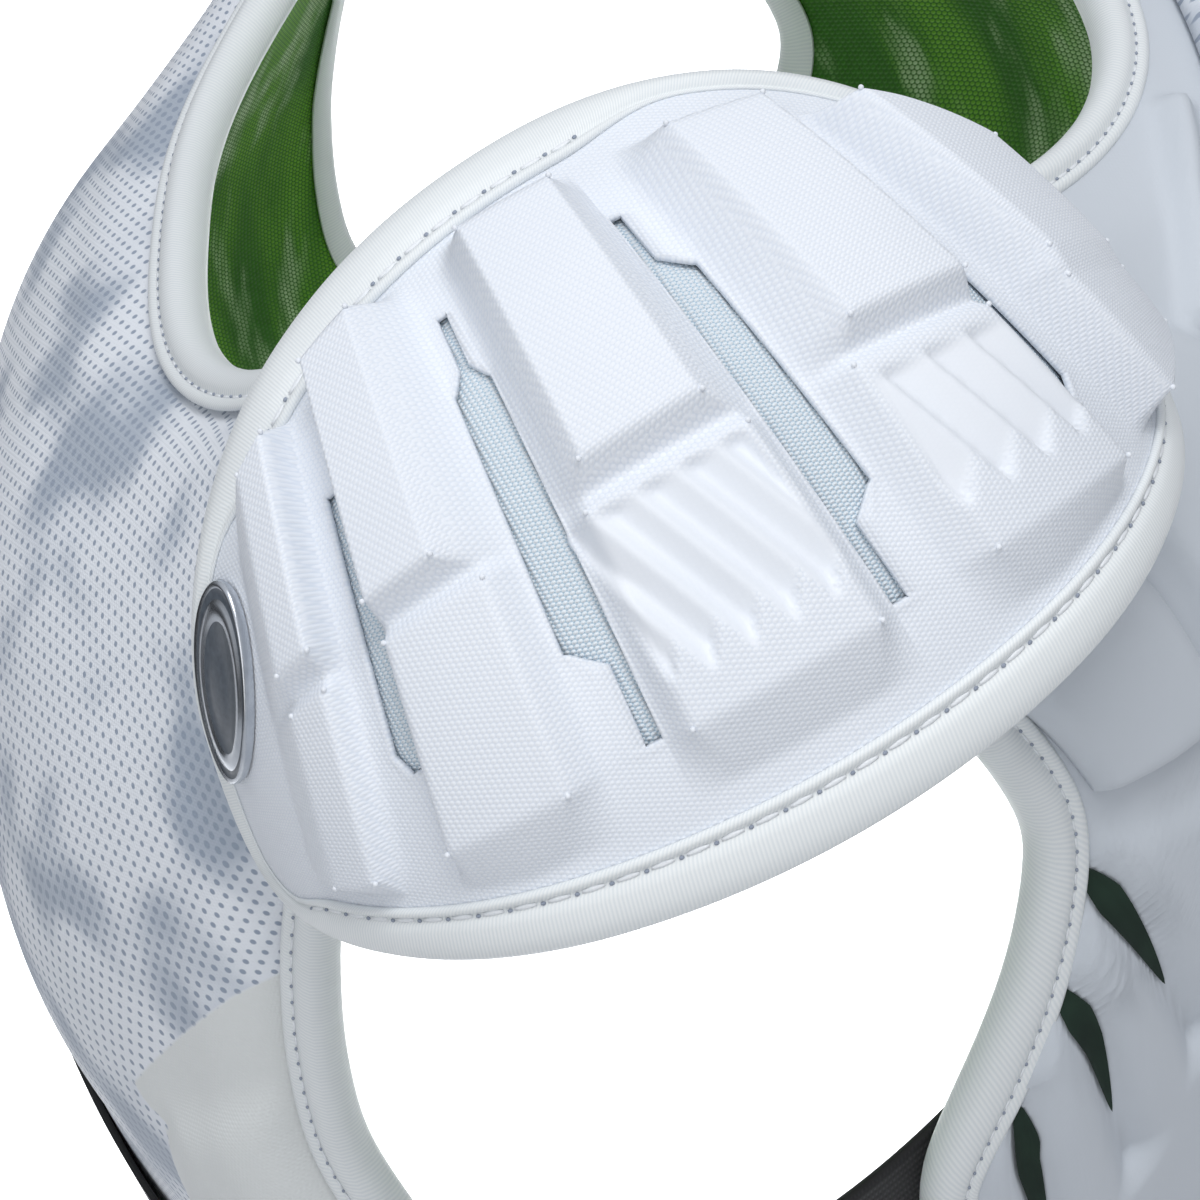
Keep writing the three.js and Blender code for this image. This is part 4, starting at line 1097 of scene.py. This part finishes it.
def make_cap_binding():
    edge = cap_edge()
    reach = cap_tape_reach(edge)
    inward = edge_inward(edge)
    rows = []
    for share, offset, lift in CAP_TAPE_SECTION + CAP_TAPE_SECTION[:1]:
        scale = reach / CAP_TAPE["reach"] if share == 1.0 else 1.0
        spot = edge[:, :2] + inward * (share * reach + scale * offset)[:, None]
        rows.append(cap_form(spot[:, 0], spot[:, 1], lift * (scale if lift > 0 else 1.0)))
    points = np.stack(rows, 0)
    points = np.concatenate([points, points[:, :1]], 1)
    chart = ring_chart(points, CAP_TAPE["step"], CAP_TAPE["round_step"])
    maker = formed_sheet(points, chart, closed=True)
    bmesh.ops.recalc_face_normals(maker, faces=maker.faces[:])
    placed_pair(finished("cap_binding_right_tape", maker, TAPE), "cap_binding_right")
    spot = edge[:, :2] + inward * (reach - CAP_SEAM["inset"])[:, None]
    seam = cap_form(spot[:, 0], spot[:, 1], CAP_SEAM["lift"])
    at, course = along_curve(seam, CAP_SEAM["pitch"])
    # The stitches show only where the tape has its full width
    sewn_on = seam[reach > CAP_SEAM["least_reach"]]
    kept = [np.min(np.linalg.norm(sewn_on - place, axis=1)) < CAP_SEAM["pitch"] / 2 for place in at]
    normal = np.array([cap_normal(place) for place in at[kept]])
    placed_pair(stitches("cap_stitches_right", at[kept], course[kept], normal, CAP_SEAM))


def make_badge():
    around = np.linspace(0, 2 * math.pi, BADGE["corners"] + 1)
    cosine = math.cos(BADGE["turn"])
    sine = math.sin(BADGE["turn"])
    rows = []
    for share, lift, _ in BADGE_PROFILE:
        long = BADGE["half_length"] * np.cos(around) * share
        wide = BADGE["half_width"] * np.sin(around) * share
        girth = BADGE["girth"] + long * cosine - wide * sine
        arm = BADGE["arm"] + long * sine + wide * cosine
        rows.append(cap_form(girth, arm, lift))
    points = np.stack(rows, 0)
    maker = formed_sheet(points, ring_chart(points, 1.0, 1.0), closed=True)
    outward(maker, lambda place: Vector(cap_normal(np.array(place) / MM)))
    row = maker.verts.layers.float["chart_v"]
    for face in maker.faces:
        band = min(round(vertex[row]) for vertex in face.verts)
        face.material_index = 0 if BADGE_PROFILE[band][2] == "face" else 1
    right = finished("cap_badge_right_disc", maker, BADGE_FACE, BADGE_RIM)
    placed_pair(right, "cap_badge_right")


def make_pips():
    """Small pips that the mould's air holes leave on the corners of the ribs."""
    maker = bmesh.new()
    for rib in RIBS:
        for row, level in PIP_ROWS:
            for fan in np.array(rib[level]):
                arm = float(cap_row_arm(fan, row))
                place = cap_form(float(fan_girth(fan, arm)), arm, rib["rise"][level] - PIP["sink"])
                made = bmesh.ops.create_uvsphere(
                    maker, u_segments=PIP["segments"], v_segments=PIP["rings"], radius=PIP["radius"] * MM,
                )
                bmesh.ops.translate(maker, vec=Vector(place) * MM, verts=made["verts"])
    placed_pair(finished("cap_pips_right", maker, FOAM))


make_cap()
make_pips()
make_cap_mesh()
make_cap_binding()
make_badge()


# Body panels


def distance_to(path, girth, run):
    """Least distance in mm from places on the chart to a line of points."""
    best = np.full(np.shape(girth), np.inf)
    for (girth_a, run_a), (girth_b, run_b) in zip(path[:-1], path[1:]):
        step = (girth_b - girth_a, run_b - run_a)
        share = ((girth - girth_a) * step[0] + (run - run_a) * step[1]) / (step[0] ** 2 + step[1] ** 2)
        share = np.clip(share, 0, 1)
        best = np.minimum(best, np.hypot(girth - girth_a - share * step[0], run - run_a - share * step[1]))
    return best


def depth_inside(corners, girth, run):
    """Distance in mm from the nearest side of a convex outline, positive inside it."""
    sides = list(zip(corners, corners[1:] + corners[:1]))
    turn = np.sign(sum(a[0] * b[1] - b[0] * a[1] for a, b in sides))
    depth = np.full(np.shape(girth), np.inf)
    for (girth_a, run_a), (girth_b, run_b) in sides:
        step = (girth_b - girth_a, run_b - run_a)
        away = (girth - girth_a) * step[1] - (run - run_a) * step[0]
        depth = np.minimum(depth, -turn * away / math.hypot(*step))
    return depth


def rounded_rise(depth, edge):
    """Height share of a plate with a rounded edge, at a depth inside its outline."""
    return np.sqrt(1 - (1 - np.clip(depth / edge, 0, 1)) ** 2)


def front_relief(girth, run):
    """Rise of the soft plates of the front panel, with valleys along the slits between them."""
    side = np.abs(girth)
    tape = armhole_girth(FRONT, run) - side
    slit = np.full(np.shape(girth), np.inf)
    for path in FRONT_SLITS:
        slit = np.minimum(slit, distance_to(path, side, run) - SLIT_VALLEY["half"])
    groove = distance_to(FRONT_GROOVE, side, run) - GROOVE_HALF
    below = run - np.interp(side, *zip(*sorted(FRONT_GROOVE)))
    feather = np.minimum(np.minimum(tape - FEATHER["tape"], slit), np.minimum(groove, below))
    rise = FEATHER["rise"] * soft_ramp(feather, -FEATHER["foot"], FEATHER["edge"])
    for plate in FRONT_PLATES:
        depth = depth_inside(plate["corners"], side, run)
        rise = np.maximum(rise, plate["rise"] * soft_ramp(depth, -PLATE_FOOT, plate["edge"]))
    strip = NECK_STRIP["half"] - distance_to(NECK_STRIP["path"], side, run)
    rise = np.maximum(rise, NECK_STRIP["rise"] * soft_ramp(strip, -PLATE_FOOT, NECK_STRIP["half"]))
    return rise - SLIT_VALLEY["depth"] * soft_ramp(-slit, -SLIT_VALLEY["foot"], SLIT_VALLEY["half"])


def front_face(girth, run):
    """Lift of the front panel's face above the body form."""
    return panel_thickness(FRONT, girth, run) + front_relief(girth, run)


def slit_strip(path, sign):
    """Dark sheet of painted shade over the opening of one slit: wide near the top, pointed below."""
    line = resampled(np.array(path[:SLIT_OPENING["points"]], float), SLIT_OPENING["step"], closed=False)
    share = np.linspace(0, 1, len(line))
    below = (1 - share) ** SLIT_OPENING["taper"] * SLIT_OPENING["fullness"]
    half = SLIT_OPENING["half"] * np.minimum(np.sqrt(share / SLIT_OPENING["widest"]), below)
    away = edge_inward(line, closed=False) * half[:, None]
    rows = []
    for place in SLIT_STRIPS:
        girth, run = (line + away * place).T
        rows.append(body_form(sign * girth, -run, front_face(girth, run) + SLIT_OPENING["lift"]))
    points = np.stack(rows, 0)
    strip = formed_sheet(points, points[..., :2])
    outward(strip, from_middle)
    return strip


def make_slits():
    for side, sign in (("left", 1), ("right", -1)):
        maker = bmesh.new()
        for path in FRONT_SLITS:
            strip = slit_strip(path, sign)
            mesh = bpy.data.meshes.new("slit")
            strip.to_mesh(mesh)
            strip.free()
            maker.from_mesh(mesh)
            bpy.data.meshes.remove(mesh)
        placed(finished(f"front_slits_{side}", maker, SLIT_SHADE))


def panel_sheet(panel, lift, pitch, columns, attributes=None):
    """Both halves of a sheet on a panel; lift and the attributes depend on girth and run."""
    girth, run = panel_grid(panel, pitch, columns)
    points = body_form(girth, panel["sign"] * run, lift(girth, run))
    points[:, 0, 0] = np.where(girth[:, 0] < MIDDLE_GIRTH, 0.0, points[:, 0, 0])
    chart = np.stack([girth, panel["sign"] * run], -1)
    extra = {key: value(girth, run) for key, value in (attributes or {}).items()}
    maker = formed_sheet(points, chart, attributes=extra)
    mirror_across(maker)
    outward(maker, from_middle)
    return maker


def make_front_panel():
    # The body attribute mixes the foam towards the plates' greyer tone, which is partly painted shade
    layers = dict(
        emboss=lambda girth, run: np.full_like(girth, BODY_EMBOSS),
        body=lambda girth, run: np.ones_like(girth),
    )
    maker = panel_sheet(FRONT, front_face, FRONT_COVER["pitch"], FRONT_COVER["columns"], layers)
    piece = thickened(finished("front_panel_cover", maker, FOAM), FRONT_COVER["wall"])
    placed(piece, "front_panel")


def back_print(girth, run):
    """Distance in mm into the printed fabric of the back, negative on the plain patch and the block."""
    plain = depth_inside(BACK_PLAIN, np.abs(girth), run)
    block = depth_inside(BACK_BLOCK["corners"], np.abs(girth), run)
    return np.clip(-np.maximum(plain, block), -PRINT_REACH, PRINT_REACH)


def back_block(girth, run):
    """Rise of the plain foam block beside each armhole, low on the back."""
    side = np.abs(girth)
    beside_tape = armhole_girth(BACK, run) - side - BACK_BLOCK["tape"]
    depth = np.minimum(depth_inside(BACK_BLOCK["corners"], side, run), beside_tape)
    return BACK_BLOCK["rise"] * soft_ramp(depth, 0, BACK_BLOCK["edge"])


def back_edge(girth, run):
    """Distance in mm on the chart from the back's neck edge or armhole edge."""
    angles = np.linspace(0, math.pi / 2, NECK_POINTS)
    neck = list(zip(neck_girth(angles), BACK["neck_run"] * np.sin(angles)))
    side = np.abs(girth)
    return np.minimum(distance_to(neck, side, run), armhole_girth(BACK, run) - side)


def back_billow(girth, run):
    """Share of the billowing that the back fabric keeps: none along its sewn edges."""
    return soft_ramp(back_edge(girth, run), *BACK_BILLOW)


def back_tuck(girth, run):
    """How far the fabric dips under the tapes along its edges."""
    return BACK_TUCK["depth"] * (1 - soft_ramp(back_edge(girth, run), *BACK_TUCK["under_tape"]))


def back_folds(girth, run):
    """Soft folds in the fabric of the back, fading out towards its sewn edges."""
    folds = 0
    for fold in BACK_FOLDS:
        way = (girth * fold["across"] + run * fold["down"]) / fold["length"]
        folds = folds + fold["depth"] * np.sin(way * 2 * math.pi + fold["start"])
    return back_billow(girth, run) * folds


def back_face(girth, run):
    """Lift of the back fabric above the body form, before it billows."""
    seat = panel_thickness(BACK, girth, run) - BACK_COVER["sink"]
    return seat + back_folds(girth, run) + back_block(girth, run) - back_tuck(girth, run)


def open_edges(mesh):
    """Pairs of vertices of the edges that only one face uses."""
    count = {}
    for polygon in mesh.polygons:
        for key in polygon.edge_keys:
            count[key] = count.get(key, 0) + 1
    return [key for key, uses in count.items() if uses == 1]


def blown_out(piece):
    """Lets the fabric billow a little between its sewn edges by a cloth simulation."""
    start = np.array([vertex.co[:] for vertex in piece.data.vertices])
    rim = {index for edge in open_edges(piece.data) for index in edge}
    pins = piece.vertex_groups.new(name="sewn")
    pins.add(sorted(rim), 1.0, "REPLACE")
    cloth = piece.modifiers.new("cloth", "CLOTH")
    cloth.settings.vertex_group_mass = "sewn"
    cloth.settings.use_pressure = True
    cloth.settings.uniform_pressure_force = CLOTH["pressure"]
    cloth.settings.shrink_min = -CLOTH["growth"]
    cloth.settings.effector_weights.gravity = 0
    cloth.settings.quality = CLOTH["quality"]
    for number in range(1, CLOTH["frames"] + 1):
        bpy.context.scene.frame_set(number)
    graph = bpy.context.evaluated_depsgraph_get()
    evaluated = piece.evaluated_get(graph)
    shape = evaluated.to_mesh()
    moved = np.array([vertex.co[:] for vertex in shape.vertices]) - start
    evaluated.to_mesh_clear()
    piece.modifiers.remove(cloth)
    piece.vertex_groups.remove(pins)
    bpy.context.scene.frame_set(1)
    # Far moves are held back towards the most that is allowed, and none is left along the sewn edges
    size = np.maximum(np.linalg.norm(moved, axis=1, keepdims=True), CLOTH["least"] * MM)
    most = CLOTH["most"] * MM
    moved = moved * np.minimum(1, most * np.tanh(size / most) / size)
    fade = np.array([item.value for item in piece.data.attributes["billow"].data])
    moved = moved * fade[:, None]
    piece.data.vertices.foreach_set("co", (start + moved).reshape(-1))
    piece.data.update()


def make_back_panel():
    layers = dict(printed=back_print, billow=back_billow)
    maker = panel_sheet(BACK, back_face, BACK_COVER["pitch"], BACK_COVER["columns"], layers)
    piece = finished("back_panel_cover", maker, DOTTED)
    blown_out(piece)
    smoother = piece.modifiers.new("smooth", "SUBSURF")
    smoother.levels = 1
    smoother.render_levels = 1
    thickened(piece, BACK_COVER["wall"])
    placed(piece, "back_panel")


def lining_face(girth, run):
    """Lift of a lining's sheet above the body form."""
    return np.full_like(girth, LINING_SHEET["lift"])


def make_linings():
    for panel, side in ((FRONT, "front"), (BACK, "back")):
        maker = panel_sheet(panel, lining_face, LINING_SHEET["pitch"], LINING_SHEET["columns"])
        piece = finished(f"{side}_lining_sheet", maker, LINING)
        thickened(piece, LINING_SHEET["wall"])
        placed(piece, f"{side}_lining")


def edge_spacing(count):
    """Shares from 0 to 1, close together near both ends."""
    even = np.linspace(-1, 1, count)
    bent = np.sin(even * math.pi / 2)
    return (mix(even, bent, PAD["crowding"]) + 1) / 2


def make_pad(name, corner, form, finish, attributes, sign=1):
    """Pad with rounded edges over a patch of the front panel; corner turns shares into girth and run."""
    across, down = np.meshgrid(*(edge_spacing(count) for count in form["counts"]))
    girth, run = corner(across, down)
    girth = sign * girth
    near_side = np.minimum(across, 1 - across) * form["size"][0]
    near_end = np.minimum(down, 1 - down) * form["size"][1]
    height = form["rise"] * rounded_rise(near_side, form["edge"]) * rounded_rise(near_end, form["edge"])
    points = body_form(girth, -run, panel_thickness(FRONT, girth, run) + form["seat"] + height)
    extra = {key: np.full_like(girth, value) for key, value in attributes.items()}
    maker = formed_sheet(points, np.stack([girth, -run], -1), attributes=extra)
    outward(maker, from_middle)
    return thickened(finished(name, maker, finish), PAD["wall"])


def chest_corner(across, down):
    """Girth and run of a place on the chest plate."""
    girth = mix(-CHEST["half"], CHEST["half"], across)
    top = CHEST["top"] + CHEST["top_curve"] * (girth / CHEST["half"]) ** 2
    bottom = mix(arch_run(FRONT_ARCH), hem_run(FRONT, girth), CHEST["bottom_share"])
    return girth, mix(top, bottom, down)


def arm_pad_corner(across, down):
    """Girth and run of a place on the left block beside the armhole."""
    near_top, far_top, far_bottom, near_bottom = np.array(ARM_PAD["corners"])[..., None, None]
    return mix(mix(near_top, far_top, across), mix(near_bottom, far_bottom, across), down)


def make_pads():
    chest = make_pad("chest_plate_pad", chest_corner, CHEST, DOTTED, dict(printed=1.0))
    placed(chest, "chest_plate")
    for side, sign in (("left", 1), ("right", -1)):
        # The body attribute mixes the foam towards the plates' greyer tone, which is partly painted shade
        layers = dict(emboss=BODY_EMBOSS, body=1.0)
        pad = make_pad(f"armhole_pad_{side}_block", arm_pad_corner, ARM_PAD, FOAM, layers, sign)
        placed(pad, f"armhole_pad_{side}")


# Tapes on the edges of the panels


def both_thickness(girth, run):
    """Thickness of the front or the back panel, by the sign of the run."""
    front = panel_thickness(FRONT, girth, np.abs(run))
    back = panel_thickness(BACK, girth, np.abs(run))
    return np.where(run < 0, front, back)


def body_tape(name, edge, inward, closed):
    """Folded tape along an edge given as girth and signed run."""
    rows = []
    for inset, lift, on_face in BODY_TAPE_SECTION + BODY_TAPE_SECTION[:1]:
        girth, run = (edge + inward * inset).T
        base = both_thickness(girth, run) if on_face else 0.0
        rows.append(body_form(girth, run, lift + base))
    points = np.stack(rows, 0)
    if closed:
        points = np.concatenate([points, points[:, :1]], 1)
    chart = ring_chart(points, BODY_TAPE["step"], BODY_TAPE["round_step"])
    maker = formed_sheet(points, chart, closed=True)
    if not closed:
        bmesh.ops.holes_fill(maker, edges=[rim for rim in maker.edges if rim.is_boundary], sides=0)
    bmesh.ops.recalc_face_normals(maker, faces=maker.faces[:])
    return finished(name, maker, TAPE)


def body_seam(name, edge, inward, closed):
    """Row of stitches in the groove of a body tape."""
    girth, run = (edge + inward * BODY_SEAM["inset"]).T
    lift = both_thickness(girth, run) + BODY_SEAM["lift"]
    low = body_form(girth, run, lift)
    high = body_form(girth, run, lift + 1)
    if closed:
        low = np.vstack([low, low[:1]])
        high = np.vstack([high, high[:1]])
    at, course = along_curve(low, BODY_SEAM["pitch"])
    nearest = [int(np.argmin(np.linalg.norm(low - spot, axis=1))) for spot in at]
    return stitches(name, at, course, (high - low)[nearest], BODY_SEAM)


def neck_edge():
    """Edge of the neck opening as girth and signed run, once round."""
    angle = np.linspace(0, 2 * math.pi, BODY_TAPE["neck_points"] + 1)[:-1]
    run_size = np.where(np.sin(angle) < 0, FRONT["neck_run"], BACK["neck_run"])
    girth = np.sign(np.cos(angle)) * neck_girth(np.arccos(np.abs(np.cos(angle))))
    return resampled(np.stack([girth, run_size * np.sin(angle)], -1), BODY_TAPE["step"])


def hem_at_armhole(panel):
    """Run at which the armhole edge of a panel meets its hem."""
    run = HEM_SEARCH["start"]
    for _ in range(HEM_SEARCH["passes"]):
        run = float(hem_run(panel, np.asarray(armhole_girth(panel, run))))
    return run


def armhole_edge():
    """Edge of the left armhole as girth and signed run, from hem to hem."""
    runs = np.arange(-hem_at_armhole(FRONT), hem_at_armhole(BACK), 1.0)
    girth = np.interp(runs, ARMHOLE_RUNS, ARMHOLE_GIRTHS)
    return resampled(np.stack([girth, runs], -1), BODY_TAPE["step"], closed=False)


def make_body_tapes():
    neck = neck_edge()
    away = -edge_inward(neck)
    placed(body_tape("neck_binding_tape", neck, away, True), "neck_binding")
    placed(body_seam("neck_stitches", neck, away, True))
    arm = armhole_edge()
    inward = edge_inward(arm, closed=False)
    left = body_tape("armhole_binding_left_tape", arm, inward, False)
    placed_pair(left, "armhole_binding_left")
    placed_pair(body_seam("armhole_stitches_left", arm, inward, False))


# Straps and tabs


def make_straps():
    arches = (FRONT_ARCH, BACK_ARCH)
    front_depth, back_depth = (float(arch_at(arch, np.array(arch_run(arch)))[0]) for arch in arches)
    way, down = np.meshgrid(np.linspace(0, 1, STRAP["columns"]), np.linspace(0, 1, STRAP["rows"]))
    angle = mix(STRAP["start"], STRAP["end"], way)
    crossing = soft_ramp(angle, STRAP["leave"], STRAP["arrive"])
    lift = mix(STRAP["inside"], STRAP["outside"], crossing) + STRAP["middle"]
    height = mix(STRAP["front_height"], STRAP["back_height"], way) - STRAP["sag"] * 4 * way * (1 - way)
    height = height - STRAP["width"] * down
    depth = np.where(np.cos(angle) > 0, front_depth, back_depth)
    x = HALF_WIDTH * np.sin(angle)
    y = middle_depth(x) - (depth + lift) * np.cos(angle)
    points = np.stack([x + lift * np.sin(angle), y, height], -1)
    chart = np.stack([way * STRAP["length"], down * STRAP["width"]], -1)
    maker = formed_sheet(points, chart)
    outward(maker, from_middle)
    left = finished("side_strap_left_webbing", maker, ELASTIC)
    thickened(left, STRAP["thickness"], offset=0.0)
    for piece, _ in placed_pair(left, "side_strap_left"):
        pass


def make_tabs():
    """Short woven tab from the shoulder bridge to the underside of each cap."""
    maker = bmesh.new()
    bmesh.ops.create_grid(maker, x_segments=CAP_TAB["cells"][0], y_segments=CAP_TAB["cells"][1], size=0.5)
    top = bmesh.ops.extrude_face_region(maker, geom=maker.faces[:])["geom"]
    raised = {item for item in top if isinstance(item, bmesh.types.BMVert)}
    uv = maker.loops.layers.uv.new("UVMap")
    for vertex in maker.verts:
        # The grid's corners lie half a unit from its middle
        girth = mix(*CAP_TAB["girths"], vertex.co.x + 0.5)
        arm = mix(*CAP_TAB["arms"], vertex.co.y + 0.5)
        high = cap_form(girth, arm, CAP_TAB["under_cap"])
        body_girth = GIRTH_RADIUS * math.asin(abs(high[0]) / HALF_WIDTH)
        run = (high[1] - middle_depth(high[0])) / math.cos(body_girth / GIRTH_RADIUS)
        lift = both_thickness(np.array(body_girth), np.array(run)) + CAP_TAB["over_bridge"]
        low = body_form(-body_girth, run, lift)
        vertex.co = Vector((high[0], high[1], high[2] if vertex in raised else low[2])) * MM
    for face in maker.faces:
        for loop in face.loops:
            loop[uv].uv = (loop.vert.co.y / MM, loop.vert.co.z / MM)
    bmesh.ops.recalc_face_normals(maker, faces=maker.faces[:])
    right = finished("cap_tab_right_webbing", maker, TAPE, smooth=False)
    placed_pair(right, "cap_tab_right")


make_front_panel()
make_slits()
make_back_panel()
make_linings()
make_pads()
make_body_tapes()
make_straps()
make_tabs()


# Stage


def make_world():
    """Soft studio sky, dim below the horizon; the camera sees an even backdrop."""
    world = bpy.data.worlds.new("studio")
    world.use_nodes = True
    tree = world.node_tree
    direction = add_node(tree, "TexCoord", output="Generated")
    dusk, full = WORLD["dusk"]
    heights = {
        "Value": add_node(tree, "SeparateXYZ", {0: direction}, "Z"), "From Min": dusk, "From Max": full,
        "To Min": WORLD["below"], "To Max": WORLD["above"],
    }
    sky = add_node(tree, "MapRange", heights, **SMOOTH)
    seen = add_node(tree, "LightPath", output="Is Camera Ray")
    strength = add_node(tree, "Mix", {SHARE: seen, NUMBER_A: sky, NUMBER_B: WORLD["backdrop"]})
    background = tree.nodes["Background"]
    background.inputs["Color"].default_value = linear(WORLD["colour"])
    tree.links.new(strength, background.inputs["Strength"])
    bpy.context.scene.world = world


def make_stage():
    maker = bmesh.new()
    bmesh.ops.create_grid(maker, x_segments=FLOOR["cells"], y_segments=FLOOR["cells"], size=FLOOR["size"])
    bmesh.ops.translate(maker, vec=(0, 0, FLOOR["height"]), verts=maker.verts[:])
    floor = finished("floor", maker, PAPER)
    make_world()
    for name, place, target, size, power in LAMPS:
        lamp = bpy.data.lights.new(name, "AREA")
        lamp.energy = power
        lamp.size = size
        holder = bpy.data.objects.new(name, lamp)
        holder.location = place
        holder.rotation_euler = (Vector(target) - Vector(place)).to_track_quat("-Z", "Y").to_euler()
        bpy.context.collection.objects.link(holder)


def make_camera():
    lens = bpy.data.cameras.new("photo_camera")
    lens.lens = CAMERA_LENS
    lens.sensor_width = CAMERA_SENSOR
    lens.clip_start, lens.clip_end = CAMERA_CLIP
    holder = bpy.data.objects.new("photo_camera", lens)
    forward = Vector(CAMERA_FORWARD).normalized()
    up = Vector(CAMERA_UP)
    up = (up - forward * up.dot(forward)).normalized()
    turn = Matrix((forward.cross(up), up, -forward)).transposed().to_4x4()
    turn.translation = Vector(CAMERA_PLACE) * MM
    holder.matrix_world = turn
    bpy.context.collection.objects.link(holder)
    bpy.context.scene.camera = holder


make_stage()
make_camera()
bpy.context.scene.view_settings.view_transform = "Standard"
